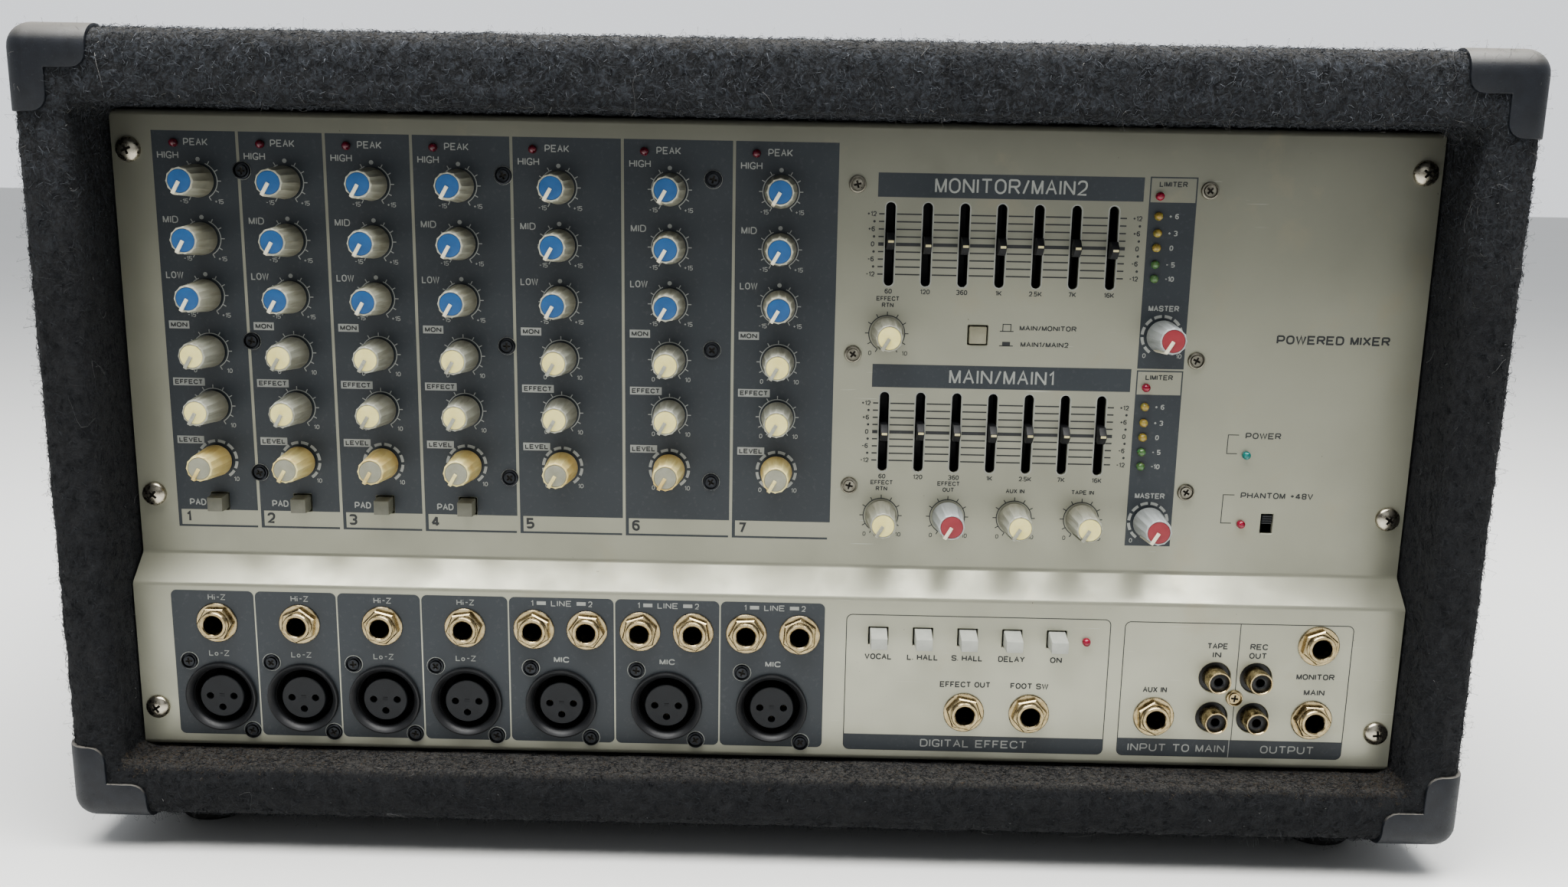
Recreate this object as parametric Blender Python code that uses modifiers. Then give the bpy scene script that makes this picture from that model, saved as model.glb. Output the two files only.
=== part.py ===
"""Powered audio mixer with two seven-band graphic equalizers, in a carpeted plywood cabinet.

Metres, +Z up, +X to the operator's right, -Y towards the operator. The origin is the middle of
the footprint, on the surface that the rubber feet stand on. Every control is at its resting
place: the knobs at their minimum, the faders near the middle, the buttons out.
"""

import math

import bmesh
import bpy
from mathutils import Matrix, Vector

MM = 0.001
GAP = 0.4 * MM

# Cabinet: a plywood sleeve under carpet, open at the front and the back
CABINET_WIDTH = 484 * MM
CABINET_DEPTH = 265 * MM
CABINET_HEIGHT = 268 * MM
FOOT_HEIGHT = 12 * MM
FOOT_RADIUS = 15 * MM
FOOT_INSET = 36 * MM
EDGE_RADIUS = 7.5 * MM
GUARD_ARM = 28 * MM
GUARD_WIDTH = 14 * MM
GUARD_PROUD = 0.5 * MM
BATTEN_WIDTH = 14 * MM
BATTEN_DEPTH = 13 * MM

FRONT = -CABINET_DEPTH / 2
REAR = CABINET_DEPTH / 2

# Front panel: one bent sheet, a lower face in front and an upper face set back
PANEL_WIDTH = 445 * MM
SHEET = 1.5 * MM
PANEL_TOP = 255.6 * MM
PANEL_BOTTOM = 32.9 * MM
UPPER_BEND = 102.2 * MM
LOWER_BEND = 93.4 * MM
UPPER_FACE = FRONT + 26.1 * MM
LOWER_FACE = FRONT + 16.9 * MM
FLANGE = 12 * MM

# Rear panel, set into the back of the cabinet
REAR_FACE = REAR - 19 * MM

# Columns and rows of the controls on the upper face
MIC_CHANNELS = 4
STEREO_CHANNELS = 3
MIC_COLUMNS = [(-193.7 + 29.2 * i) * MM for i in range(MIC_CHANNELS)]
STEREO_COLUMNS = [(-72.4 + 37.4 * i) * MM for i in range(STEREO_CHANNELS)]
CHANNEL_COLUMNS = MIC_COLUMNS + STEREO_COLUMNS
KNOB_ROWS = [(232.2 - 19.2 * i) * MM for i in range(6)]
TONE_ROWS = KNOB_ROWS[:4]
EFFECT_ROW = KNOB_ROWS[4]
LEVEL_ROW = KNOB_ROWS[5]
PAD_ROW = 121.3 * MM
BANDS = 7
BAND_COLUMNS = [(39.4 + 12.5 * i) * MM for i in range(BANDS)]
MONITOR_EQ_ROW = 215.5 * MM
MAIN_EQ_ROW = 151 * MM
MASTER_KNOBS = {
    "monitor_master_knob": (133.3 * MM, 186.2 * MM),
    "main_master_knob": (133.3 * MM, 120.7 * MM),
    "monitor_effect_return_knob": (39.4 * MM, 185.3 * MM),
    "main_effect_return_knob": (39.4 * MM, 121.1 * MM),
    "effect_out_knob": (62.8 * MM, 121.1 * MM),
    "aux_in_knob": (86.2 * MM, 121.1 * MM),
    "tape_in_knob": (109.8 * MM, 121.1 * MM),
}
ROUTE_BUTTON = (70.5 * MM, 185.3 * MM)
PHANTOM_SWITCH = (174.9 * MM, 120.9 * MM)

# Columns and rows of the sockets and keys on the lower face
XLR_ROW = 52 * MM
JACK_ROW = 79.5 * MM
STEREO_JACK_OFFSET = 9.35 * MM
INPUT_JACKS = [(x, JACK_ROW) for x in MIC_COLUMNS]
INPUT_JACKS += [(x + s * STEREO_JACK_OFFSET, JACK_ROW) for x in STEREO_COLUMNS for s in (-1, 1)]
OUTPUT_JACKS = [(x * MM, XLR_ROW) for x in (70.6, 93.7, 137.9, 193.7)] + [(193.7 * MM, JACK_ROW)]
PHONO_SOCKETS = [(x * MM, z * MM) for x in (158.4, 172.9) for z in (67.1, 52.2)]
EFFECT_KEYS = 5
KEY_COLUMNS = [(39.4 + 15.65 * i) * MM for i in range(EFFECT_KEYS)]
KEY_ROW = 79.8 * MM

# Knobs and their shafts
KNOB_BASE = 6.25 * MM
KNOB_TIP = 4.2 * MM
KNOB_TOP = 15 * MM
KNOB_LIFT = 0.8 * MM
SHAFT_RADIUS = 3 * MM
SHAFT_DEPTH = 7.5 * MM
SHAFT_HOLE = 4 * MM
POINTER_WIDTH = 1.3 * MM
POINTER_REACH = 5 * MM
POINTER_PROUD = 0.5 * MM
KNOB_MINIMUM = math.radians(150)

# Faders and buttons
FADER_WIDTH = 2.6 * MM
FADER_HEIGHT = 5.8 * MM
FADER_TIP_HEIGHT = 5.2 * MM
FADER_PROUD = 6 * MM
FADER_DEPTH = 8 * MM
SLOT_WIDTH = 3.2 * MM
SLOT_LENGTH = 28 * MM
MONITOR_FADER_OFFSETS = [z * MM for z in (1.2, 0, 0, 0, 0.3, 0, -0.5)]
MAIN_FADER_OFFSETS = [z * MM for z in (0.3, 0.7, 0.6, 0.4, 0.5, 0.6, 0.7)]
PAD_SIZE = 5.4 * MM
PAD_PROUD = 5 * MM
ROUTE_SIZE = 6 * MM
ROUTE_PROUD = 0.8 * MM
KEY_WIDTH = 6.2 * MM
KEY_HEIGHT = 5.8 * MM
KEY_TIP_HEIGHT = 4.2 * MM
KEY_PROUD = 7 * MM
BUTTON_DEPTH = 8 * MM
BUTTON_CLEARANCE = 0.35 * MM
PHANTOM_WIDTH = 3.4 * MM
PHANTOM_HEIGHT = 3.2 * MM
PHANTOM_TRAVEL = 3 * MM

# Circuit boards behind the panels
BOARD = 1.6 * MM
UPPER_BOARD = UPPER_FACE + 16 * MM
LOWER_BOARD = LOWER_FACE + 24 * MM
REAR_BOARD = REAR_FACE - 24 * MM
POT_SIZE = 11 * MM
POT_DEPTH = 8 * MM
SLIDER_BODY = 7 * MM
SWITCH_DEPTH = 4 * MM

# Sockets
XLR_RADIUS = 12 * MM
XLR_BORE = 10.7 * MM
XLR_INSERT = 7.7 * MM
XLR_GROOVE = 9 * MM
XLR_HOLE = 12.7 * MM
JACK_NUT = 7.1 * MM
JACK_BORE = 3.4 * MM
JACK_BUSHING = 5.2 * MM
JACK_HOLE = 5.9 * MM
JACK_PROUD = 4 * MM
JACK_DEPTH = 14 * MM
PHONO_BARREL = 4 * MM
PHONO_PROUD = 6 * MM
PHONO_BORE = 1.7 * MM
SOCKET_BODY = 24 * MM

# Power section
INLET_CENTRE = (-161 * MM, 75 * MM)
INLET_SIZE = (54 * MM, 28 * MM)
INLET_FLANGE = 5 * MM
INLET_DEPTH = 26 * MM
SOCKET_OFFSET = -11 * MM
SOCKET_SIZE = (25 * MM, 17 * MM)
SOCKET_DEPTH = 16 * MM
ROCKER_OFFSET = 16 * MM
ROCKER_WINDOW = (13.6 * MM, 23.4 * MM)
ROCKER_SIZE = (12.8 * MM, 9 * MM, 20.6 * MM)
ROCKER_PIVOT_DEPTH = 3 * MM
ROCKER_POCKET = 12 * MM
ROCKER_TILT = math.radians(8)
SPEAKER_JACKS = [((-188 + 24 * i) * MM, 150 * MM) for i in range(4)]
HEATSINK_CENTRE = (45 * MM, 150 * MM)
HEATSINK_BASE = (212 * MM, 6 * MM, 100 * MM)
FIN_SPAN = 196 * MM
FIN_COUNT = 13
FIN_THICKNESS = 2.5 * MM
FIN_PROUD = 15 * MM
TRANSFORMER_CENTRE = (-95 * MM, 0)
TRANSFORMER_RADIUS = 58 * MM
TRANSFORMER_HEIGHT = 52 * MM

PARTS = "powered_mixer"
CUTTERS = "cutters"


def clear_scene():
    for obj in list(bpy.data.objects):
        bpy.data.objects.remove(obj, do_unlink=True)
    for name in (PARTS, CUTTERS):
        collection = bpy.data.collections.new(name)
        bpy.context.scene.collection.children.link(collection)
    bpy.data.collections[CUTTERS].hide_render = True


def material(name, colour, roughness, metallic=0.0):
    made = bpy.data.materials.new(name)
    made.use_nodes = True
    shader = made.node_tree.nodes["Principled BSDF"]
    shader.inputs["Base Color"].default_value = (*colour, 1)
    shader.inputs["Roughness"].default_value = roughness
    shader.inputs["Metallic"].default_value = metallic
    return made


def add_object(name, mesh, finish, collection=PARTS):
    obj = bpy.data.objects.new(name, mesh)
    bpy.data.collections[collection].objects.link(obj)
    if finish and not mesh.materials:
        mesh.materials.append(finish)
    return obj


def mesh_of(name, build):
    """A mesh whose shape the function build adds to an empty bmesh."""
    bm = bmesh.new()
    build(bm)
    bmesh.ops.recalc_face_normals(bm, faces=bm.faces)
    mesh = bpy.data.meshes.new(name)
    bm.to_mesh(mesh)
    bm.free()
    return mesh


def add_box(bm, low, high):
    low, high = Vector(low), Vector(high)
    size = Matrix.Diagonal((*(high - low), 1))
    return bmesh.ops.create_cube(bm, size=1, matrix=Matrix.Translation((low + high) / 2) @ size)["verts"]


def add_prism(bm, x, z, radius, front, back, sides):
    """A prism along Y, with a flat side up."""
    turn = Matrix.Rotation(math.radians(90), 4, "X") @ Matrix.Rotation(math.pi / sides, 4, "Z")
    bmesh.ops.create_cone(
        bm,
        cap_ends=True,
        segments=sides,
        radius1=radius,
        radius2=radius,
        depth=back - front,
        matrix=Matrix.Translation((x, (front + back) / 2, z)) @ turn,
    )


def add_copy(bm, mesh, matrix):
    """Adds a mesh to the bmesh, moved by the matrix."""
    before = len(bm.verts)
    bm.from_mesh(mesh)
    bm.verts.ensure_lookup_table()
    bmesh.ops.transform(bm, matrix=matrix, verts=bm.verts[before:])


def modified(obj, kind, name, **settings):
    modifier = obj.modifiers.new(name, kind)
    for key, value in settings.items():
        setattr(modifier, key, value)
    return modifier


def boolean(obj, operation, operand, name, use_self=False):
    modified(obj, "BOOLEAN", name, operation=operation, object=operand, solver="EXACT", use_self=use_self)


def add_cutter(name, build):
    cutter = add_object(name, mesh_of(name, build), None, CUTTERS)
    cutter.hide_render = True
    cutter.display_type = "WIRE"
    return cutter


def evaluated_mesh(obj, name):
    """The object's mesh with its modifiers applied. The object itself is removed."""
    graph = bpy.context.evaluated_depsgraph_get()
    mesh = bpy.data.meshes.new_from_object(obj.evaluated_get(graph))
    mesh.name = name
    bpy.data.objects.remove(obj)
    return mesh


def turned_mesh(name, profile, sides, ridge=None):
    """A solid turned about local Z from (radius, height) points, top to bottom."""
    outline = bpy.data.meshes.new(name + "_outline")
    points = [(r, 0, h) for r, h in profile]
    outline.from_pydata(points, [(i, i + 1) for i in range(len(points) - 1)], [])
    obj = add_object(name + "_outline", outline, None, CUTTERS)
    modified(
        obj,
        "SCREW",
        "Turn",
        steps=sides,
        render_steps=sides,
        use_merge_vertices=True,
        merge_threshold=0.01 * MM,
    )
    if ridge:
        boolean(obj, "UNION", ridge, "Pointer")
    mesh = evaluated_mesh(obj, name)
    mesh.shade_smooth()
    mesh.set_sharp_from_angle(angle=math.radians(35))
    return mesh


FACING_FRONT = Matrix.Rotation(math.radians(90), 4, "X")
FACING_REAR = Matrix.Rotation(math.radians(-90), 4, "X")


def place(obj, x, face, z, facing=FACING_FRONT):
    """Puts local Z along the outward normal of a panel face, with the origin on the face."""
    obj.matrix_world = Matrix.Translation((x, face, z)) @ facing


# ---- cabinet ----


def add_guard_arms(bm):
    """Three arms along the edges at each of the eight corners, 24 boxes in all."""
    sides = (-1, 1)
    reach = Vector((CABINET_WIDTH, CABINET_DEPTH, CABINET_HEIGHT)) / 2 + Vector((MM, MM, MM))
    for corner in ((x, y, z) for x in sides for y in sides for z in sides):
        for along in range(3):
            inner = [reach[k] - (GUARD_ARM if k == along else GUARD_WIDTH) for k in range(3)]
            ends = [sorted((corner[k] * inner[k], corner[k] * reach[k])) for k in range(3)]
            low, high = zip(*ends)
            lift = Vector((0, 0, FOOT_HEIGHT + CABINET_HEIGHT / 2))
            add_box(bm, Vector(low) + lift, Vector(high) + lift)


def rounded_box(name, grow, finish, collection=PARTS):
    """The cabinet's outer shape, grown by a little on every side, with round edges."""
    half = Vector((CABINET_WIDTH / 2 + grow, CABINET_DEPTH / 2 + grow, CABINET_HEIGHT / 2 + grow))
    centre = Vector((0, 0, FOOT_HEIGHT + CABINET_HEIGHT / 2))
    mesh = mesh_of(name, lambda bm: add_box(bm, centre - half, centre + half))
    obj = add_object(name, mesh, finish, collection)
    modified(obj, "BEVEL", "Round edges", width=EDGE_RADIUS + grow, segments=2)
    return obj


def add_feet(bm):
    x = CABINET_WIDTH / 2 - FOOT_INSET
    y = CABINET_DEPTH / 2 - FOOT_INSET
    for place_x, place_y in ((-x, -y), (x, -y), (-x, y), (x, y)):
        bmesh.ops.create_cone(
            bm,
            cap_ends=True,
            segments=16,
            radius1=FOOT_RADIUS * 0.85,
            radius2=FOOT_RADIUS,
            depth=FOOT_HEIGHT + MM,
            matrix=Matrix.Translation((place_x, place_y, (FOOT_HEIGHT + MM) / 2)),
        )


def add_battens(bm):
    """Strips on the side walls that the two panels are screwed to."""
    wall = PANEL_WIDTH / 2 + 2 * MM
    behind = SHEET + GAP
    spans = (
        (UPPER_FACE + behind, UPPER_BEND + 2 * MM, PANEL_TOP - 3 * MM),
        (LOWER_FACE + behind, PANEL_BOTTOM + 3 * MM, LOWER_BEND - 2 * MM),
        (REAR_FACE - behind - BATTEN_DEPTH, PANEL_BOTTOM + 3 * MM, PANEL_TOP - 3 * MM),
    )
    for side in (-1, 1):
        ends = sorted((side * wall, side * (wall - BATTEN_WIDTH - 2 * MM)))
        for front, bottom, top in spans:
            add_box(bm, (ends[0], front, bottom), (ends[1], front + BATTEN_DEPTH, top))


def make_cabinet(finish):
    cabinet = rounded_box("cabinet", 0, finish)
    guards = rounded_box("guard_shape", GUARD_PROUD, None, CUTTERS)
    guards.hide_render = True
    guards.display_type = "WIRE"
    boolean(guards, "INTERSECT", add_cutter("guard_arms", add_guard_arms), "Arms", use_self=True)
    boolean(cabinet, "UNION", guards, "Corner guards")
    boolean(cabinet, "UNION", add_cutter("feet", add_feet), "Feet")
    low = (-PANEL_WIDTH / 2 - GAP, FRONT - 5 * MM, PANEL_BOTTOM - GAP)
    high = (PANEL_WIDTH / 2 + GAP, REAR + 5 * MM, PANEL_TOP + GAP)
    boolean(cabinet, "DIFFERENCE", add_cutter("opening", lambda bm: add_box(bm, low, high)), "Opening")
    boolean(cabinet, "UNION", add_cutter("battens", add_battens), "Battens")


# ---- front panel ----


def add_panel_sheet(bm):
    outline = (
        (UPPER_FACE + FLANGE, PANEL_TOP),
        (UPPER_FACE, PANEL_TOP),
        (UPPER_FACE, UPPER_BEND),
        (LOWER_FACE, LOWER_BEND),
        (LOWER_FACE, PANEL_BOTTOM),
        (LOWER_FACE + FLANGE, PANEL_BOTTOM),
    )
    half = PANEL_WIDTH / 2
    left = [bm.verts.new((-half, y, z)) for y, z in outline]
    right = [bm.verts.new((half, y, z)) for y, z in outline]
    for i in range(len(outline) - 1):
        bm.faces.new((left[i], left[i + 1], right[i + 1], right[i]))


def add_window(bm, x, z, width, height, face):
    low = (x - width / 2, face - 5 * MM, z - height / 2)
    high = (x + width / 2, face + 5 * MM, z + height / 2)
    add_box(bm, low, high)


def add_panel_holes(bm):
    shafts = [(x, z) for x in CHANNEL_COLUMNS for z in KNOB_ROWS] + list(MASTER_KNOBS.values())
    for x, z in shafts:
        add_prism(bm, x, z, SHAFT_HOLE, UPPER_FACE - 5 * MM, UPPER_FACE + 5 * MM, 6)
    for row in (MONITOR_EQ_ROW, MAIN_EQ_ROW):
        for x in BAND_COLUMNS:
            add_window(bm, x, row, SLOT_WIDTH, SLOT_LENGTH, UPPER_FACE)
    spare = 2 * BUTTON_CLEARANCE
    for x in MIC_COLUMNS:
        add_window(bm, x, PAD_ROW, PAD_SIZE + spare, PAD_SIZE + spare, UPPER_FACE)
    add_window(bm, *ROUTE_BUTTON, ROUTE_SIZE + spare, ROUTE_SIZE + spare, UPPER_FACE)
    slide = PHANTOM_HEIGHT + PHANTOM_TRAVEL + spare
    add_window(bm, *PHANTOM_SWITCH, PHANTOM_WIDTH + spare, slide, UPPER_FACE)
    for x in KEY_COLUMNS:
        add_window(bm, x, KEY_ROW, KEY_WIDTH + spare, KEY_HEIGHT + spare, LOWER_FACE)
    for x in CHANNEL_COLUMNS:
        add_prism(bm, x, XLR_ROW, XLR_HOLE, LOWER_FACE - 5 * MM, LOWER_FACE + 5 * MM, 16)
    for x, z in INPUT_JACKS + OUTPUT_JACKS + PHONO_SOCKETS:
        add_prism(bm, x, z, JACK_HOLE, LOWER_FACE - 5 * MM, LOWER_FACE + 5 * MM, 8)


def make_front_panel(finish):
    panel = add_object("front_panel", bpy.data.meshes.new("front_panel"), finish)
    bm = bmesh.new()
    add_panel_sheet(bm)
    bm.to_mesh(panel.data)
    bm.free()
    modified(panel, "SOLIDIFY", "Sheet", thickness=SHEET, offset=-1, use_even_offset=True)
    boolean(panel, "DIFFERENCE", add_cutter("panel_holes", add_panel_holes), "Holes")


# ---- sockets, as turned solids on local Z with the panel face at height zero ----


def xlr_mesh():
    front = 0.8 * MM
    insert_front = -1.2 * MM
    profile = (
        (0, insert_front),
        (XLR_INSERT, insert_front),
        (XLR_INSERT, -XLR_GROOVE),
        (XLR_BORE, -XLR_GROOVE),
        (XLR_BORE, front),
        (XLR_RADIUS, front),
        (XLR_RADIUS, -SOCKET_BODY - BOARD / 2),
        (0, -SOCKET_BODY - BOARD / 2),
    )
    return turned_mesh("xlr_socket", profile, 12)


def jack_mesh():
    profile = (
        (0, -JACK_DEPTH),
        (JACK_BORE, -JACK_DEPTH),
        (JACK_BORE, JACK_PROUD),
        (JACK_NUT, JACK_PROUD),
        (JACK_NUT, GAP),
        (JACK_BUSHING, GAP),
        (JACK_BUSHING, -SOCKET_BODY - BOARD / 2),
        (0, -SOCKET_BODY - BOARD / 2),
    )
    return turned_mesh("jack_socket", profile, 8)


def phono_mesh():
    profile = (
        (0, -4 * MM),
        (PHONO_BORE, -4 * MM),
        (PHONO_BORE, PHONO_PROUD),
        (PHONO_BARREL, PHONO_PROUD),
        (PHONO_BARREL, 0),
        (JACK_BUSHING, 0),
        (JACK_BUSHING, -SOCKET_BODY - BOARD / 2),
        (0, -SOCKET_BODY - BOARD / 2),
    )
    return turned_mesh("phono_socket", profile, 8)


# ---- circuit boards, each with what is soldered to it ----


def make_board(name, low, high, finish, additions):
    """A plate from low to high, with each function in additions fused to it in turn."""
    obj = add_object(name, mesh_of(name, lambda bm: add_box(bm, low, high)), finish)
    for i, build in enumerate(additions):
        boolean(obj, "UNION", add_cutter(f"{name}_parts_{i + 1}", build), f"Parts {i + 1}")
    return obj


def add_block(bm, x, z, width, height, depth, board):
    """A component standing on the front of a board, sunk half the board's thickness into it."""
    add_box(
        bm,
        (x - width / 2, board - depth, z - height / 2),
        (x + width / 2, board + BOARD / 2, z + height / 2),
    )


def make_channel_board(finish):
    """The board behind the channel strips. Its tone and monitor knobs are one piece with it."""
    profile = (
        (0, KNOB_TOP),
        (KNOB_TIP, KNOB_TOP),
        (KNOB_BASE, KNOB_LIFT),
        (SHAFT_RADIUS, KNOB_LIFT),
        (SHAFT_RADIUS, UPPER_FACE - UPPER_BOARD - BOARD / 2),
        (0, UPPER_FACE - UPPER_BOARD - BOARD / 2),
    )
    tone_knob = turned_mesh("tone_knob", profile, 8)

    def add_pots(bm):
        for x in CHANNEL_COLUMNS:
            for z in KNOB_ROWS:
                add_block(bm, x, z, POT_SIZE, POT_SIZE, POT_DEPTH, UPPER_BOARD)
        for x in MIC_COLUMNS:
            add_block(bm, x, PAD_ROW, 8 * MM, 8 * MM, SWITCH_DEPTH, UPPER_BOARD)

    def add_tone_knobs(bm):
        for x in CHANNEL_COLUMNS:
            for z in TONE_ROWS:
                add_copy(bm, tone_knob, Matrix.Translation((x, UPPER_FACE, z)) @ FACING_FRONT)

    low = (-206 * MM, UPPER_BOARD, 108 * MM)
    high = (20 * MM, UPPER_BOARD + BOARD, 248 * MM)
    make_board("channel_board", low, high, finish, (add_pots, add_tone_knobs))


def make_equalizer_board(finish):
    """The board behind the two equalizers, the master knobs and the phantom power switch."""

    def add_parts(bm):
        for row in (MONITOR_EQ_ROW, MAIN_EQ_ROW):
            for x in BAND_COLUMNS:
                add_block(bm, x, row, 8 * MM, 38 * MM, SLIDER_BODY, UPPER_BOARD)
        for x, z in MASTER_KNOBS.values():
            add_block(bm, x, z, POT_SIZE, POT_SIZE, POT_DEPTH, UPPER_BOARD)
        for x, z in (ROUTE_BUTTON, PHANTOM_SWITCH):
            add_block(bm, x, z, 8 * MM, 9 * MM, SWITCH_DEPTH, UPPER_BOARD)

    low = (30 * MM, UPPER_BOARD, 108 * MM)
    high = (206 * MM, UPPER_BOARD + BOARD, 248 * MM)
    make_board("equalizer_board", low, high, finish, (add_parts,))


def make_socket_boards(finish, xlr, jack, phono):
    def add_inputs(bm):
        for x in CHANNEL_COLUMNS:
            add_copy(bm, xlr, Matrix.Translation((x, LOWER_FACE, XLR_ROW)) @ FACING_FRONT)
        for x, z in INPUT_JACKS:
            add_copy(bm, jack, Matrix.Translation((x, LOWER_FACE, z)) @ FACING_FRONT)

    def add_outputs(bm):
        for x, z in OUTPUT_JACKS:
            add_copy(bm, jack, Matrix.Translation((x, LOWER_FACE, z)) @ FACING_FRONT)
        for x, z in PHONO_SOCKETS:
            add_copy(bm, phono, Matrix.Translation((x, LOWER_FACE, z)) @ FACING_FRONT)
        for x in KEY_COLUMNS:
            add_block(bm, x, KEY_ROW, 8 * MM, 8 * MM, POT_DEPTH, LOWER_BOARD)

    bottom, top = 37 * MM, 91 * MM
    low, high = (-206 * MM, LOWER_BOARD, bottom), (22 * MM, LOWER_BOARD + BOARD, top)
    make_board("input_socket_board", low, high, finish, (add_inputs,))
    low, high = (30 * MM, LOWER_BOARD, bottom), (206 * MM, LOWER_BOARD + BOARD, top)
    make_board("output_socket_board", low, high, finish, (add_outputs,))


def make_amplifier_board(finish, jack):
    """The board behind the rear panel, with the speaker jacks and the output transistors."""

    def add_jacks(bm):
        for x, z in SPEAKER_JACKS:
            add_copy(bm, jack, Matrix.Translation((x, REAR_FACE, z)) @ FACING_REAR)

    def add_transistors(bm):
        front = REAR_BOARD - BOARD / 2
        back = REAR_FACE - SHEET - GAP - HEATSINK_BASE[1] - GAP
        for i in range(6):
            x = HEATSINK_CENTRE[0] + (i - 2.5) * 30 * MM
            add_box(bm, (x - 8 * MM, front, 125 * MM), (x + 8 * MM, back, 145 * MM))

    low = (-202 * MM, REAR_BOARD - BOARD, 105 * MM)
    high = (150 * MM, REAR_BOARD, 195 * MM)
    make_board("amplifier_board", low, high, finish, (add_jacks, add_transistors))


# ---- rear and power section ----


def make_rear_panel(finish):
    half = PANEL_WIDTH / 2
    low, high = (-half, REAR_FACE - SHEET, PANEL_BOTTOM), (half, REAR_FACE, PANEL_TOP)
    panel = add_object("rear_panel", mesh_of("rear_panel", lambda bm: add_box(bm, low, high)), finish)

    def add_holes(bm):
        width, height = (size + 2 * GAP for size in INLET_SIZE)
        add_window(bm, *INLET_CENTRE, width, height, REAR_FACE)
        add_window(bm, *HEATSINK_CENTRE, FIN_SPAN + 6 * MM, HEATSINK_BASE[2] + 4 * MM, REAR_FACE)
        for x, z in SPEAKER_JACKS:
            add_prism(bm, x, z, JACK_HOLE, REAR_FACE - 5 * MM, REAR_FACE + 5 * MM, 8)
        for i in range(16):
            x = HEATSINK_CENTRE[0] + (i - 7.5) * 11 * MM
            for z in (66 * MM, 229 * MM):
                add_window(bm, x, z, 3.2 * MM, 26 * MM, REAR_FACE)

    boolean(panel, "DIFFERENCE", add_cutter("rear_holes", add_holes), "Holes")


def make_heatsink(finish):
    """An extruded comb: a base plate inside the rear panel, and fins out through its window."""
    width, thickness, height = HEATSINK_BASE
    inner = REAR_FACE - SHEET - GAP - thickness
    base = inner + thickness
    tip = REAR_FACE + FIN_PROUD
    outline = [(-width / 2, inner), (width / 2, inner), (width / 2, base)]
    pitch = (FIN_SPAN - FIN_THICKNESS) / (FIN_COUNT - 1)
    for i in reversed(range(FIN_COUNT)):
        right = -FIN_SPAN / 2 + i * pitch + FIN_THICKNESS
        left = right - FIN_THICKNESS
        outline += [(right, base), (right, tip), (left, tip), (left, base)]
    outline.append((-width / 2, base))

    def build(bm):
        bottom = HEATSINK_CENTRE[1] - height / 2
        face = bm.faces.new([bm.verts.new((HEATSINK_CENTRE[0] + x, y, bottom)) for x, y in outline])
        grown = bmesh.ops.extrude_face_region(bm, geom=[face])["geom"]
        verts = [item for item in grown if isinstance(item, bmesh.types.BMVert)]
        bmesh.ops.translate(bm, vec=(0, 0, height), verts=verts)

    add_object("amplifier_heatsink", mesh_of("amplifier_heatsink", build), finish)


def make_mains_inlet(finish):
    """A power entry module: a three-pin inlet beside the pocket that the rocker works in."""
    x, z = INLET_CENTRE
    width, height = INLET_SIZE
    mouth = REAR_FACE + GAP + 2.5 * MM

    def add_body(bm):
        add_box(
            bm,
            (x - width / 2, REAR_FACE - INLET_DEPTH, z - height / 2),
            (x + width / 2, mouth - MM, z + height / 2),
        )

    def add_flange(bm):
        add_box(
            bm,
            (x - width / 2 - INLET_FLANGE, REAR_FACE + GAP, z - height / 2 - INLET_FLANGE),
            (x + width / 2 + INLET_FLANGE, mouth, z + height / 2 + INLET_FLANGE),
        )

    def add_hollows(bm):
        for offset, size, depth in (
            (SOCKET_OFFSET, SOCKET_SIZE, SOCKET_DEPTH),
            (ROCKER_OFFSET, ROCKER_WINDOW, ROCKER_POCKET),
        ):
            low = (x + offset - size[0] / 2, mouth - depth, z - size[1] / 2)
            add_box(bm, low, (x + offset + size[0] / 2, mouth + 5 * MM, z + size[1] / 2))

    def add_pins(bm):
        for pin_x, pin_z in ((-7 * MM, -2 * MM), (7 * MM, -2 * MM), (0, 3 * MM)):
            centre = x + SOCKET_OFFSET + pin_x
            low = (centre - MM, mouth - SOCKET_DEPTH - MM, z + pin_z - 2 * MM)
            add_box(bm, low, (centre + MM, mouth - 2 * MM, z + pin_z + 2 * MM))

    inlet = add_object("mains_inlet", mesh_of("mains_inlet", add_body), finish)
    boolean(inlet, "UNION", add_cutter("inlet_flange", add_flange), "Flange")
    boolean(inlet, "DIFFERENCE", add_cutter("inlet_hollows", add_hollows), "Hollows")
    boolean(inlet, "UNION", add_cutter("inlet_pins", add_pins), "Pins")


def make_rocker(finish):
    """The mains switch's rocker, tipped to off, on a pivot along X."""
    half = Vector(ROCKER_SIZE) / 2
    rocker = add_object("power_rocker", mesh_of("power_rocker", lambda bm: add_box(bm, -half, half)), finish)
    centre = (INLET_CENTRE[0] + ROCKER_OFFSET, REAR_FACE - ROCKER_PIVOT_DEPTH, INLET_CENTRE[1])
    rocker.matrix_world = Matrix.Translation(centre) @ Matrix.Rotation(-ROCKER_TILT, 4, "X")


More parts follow.
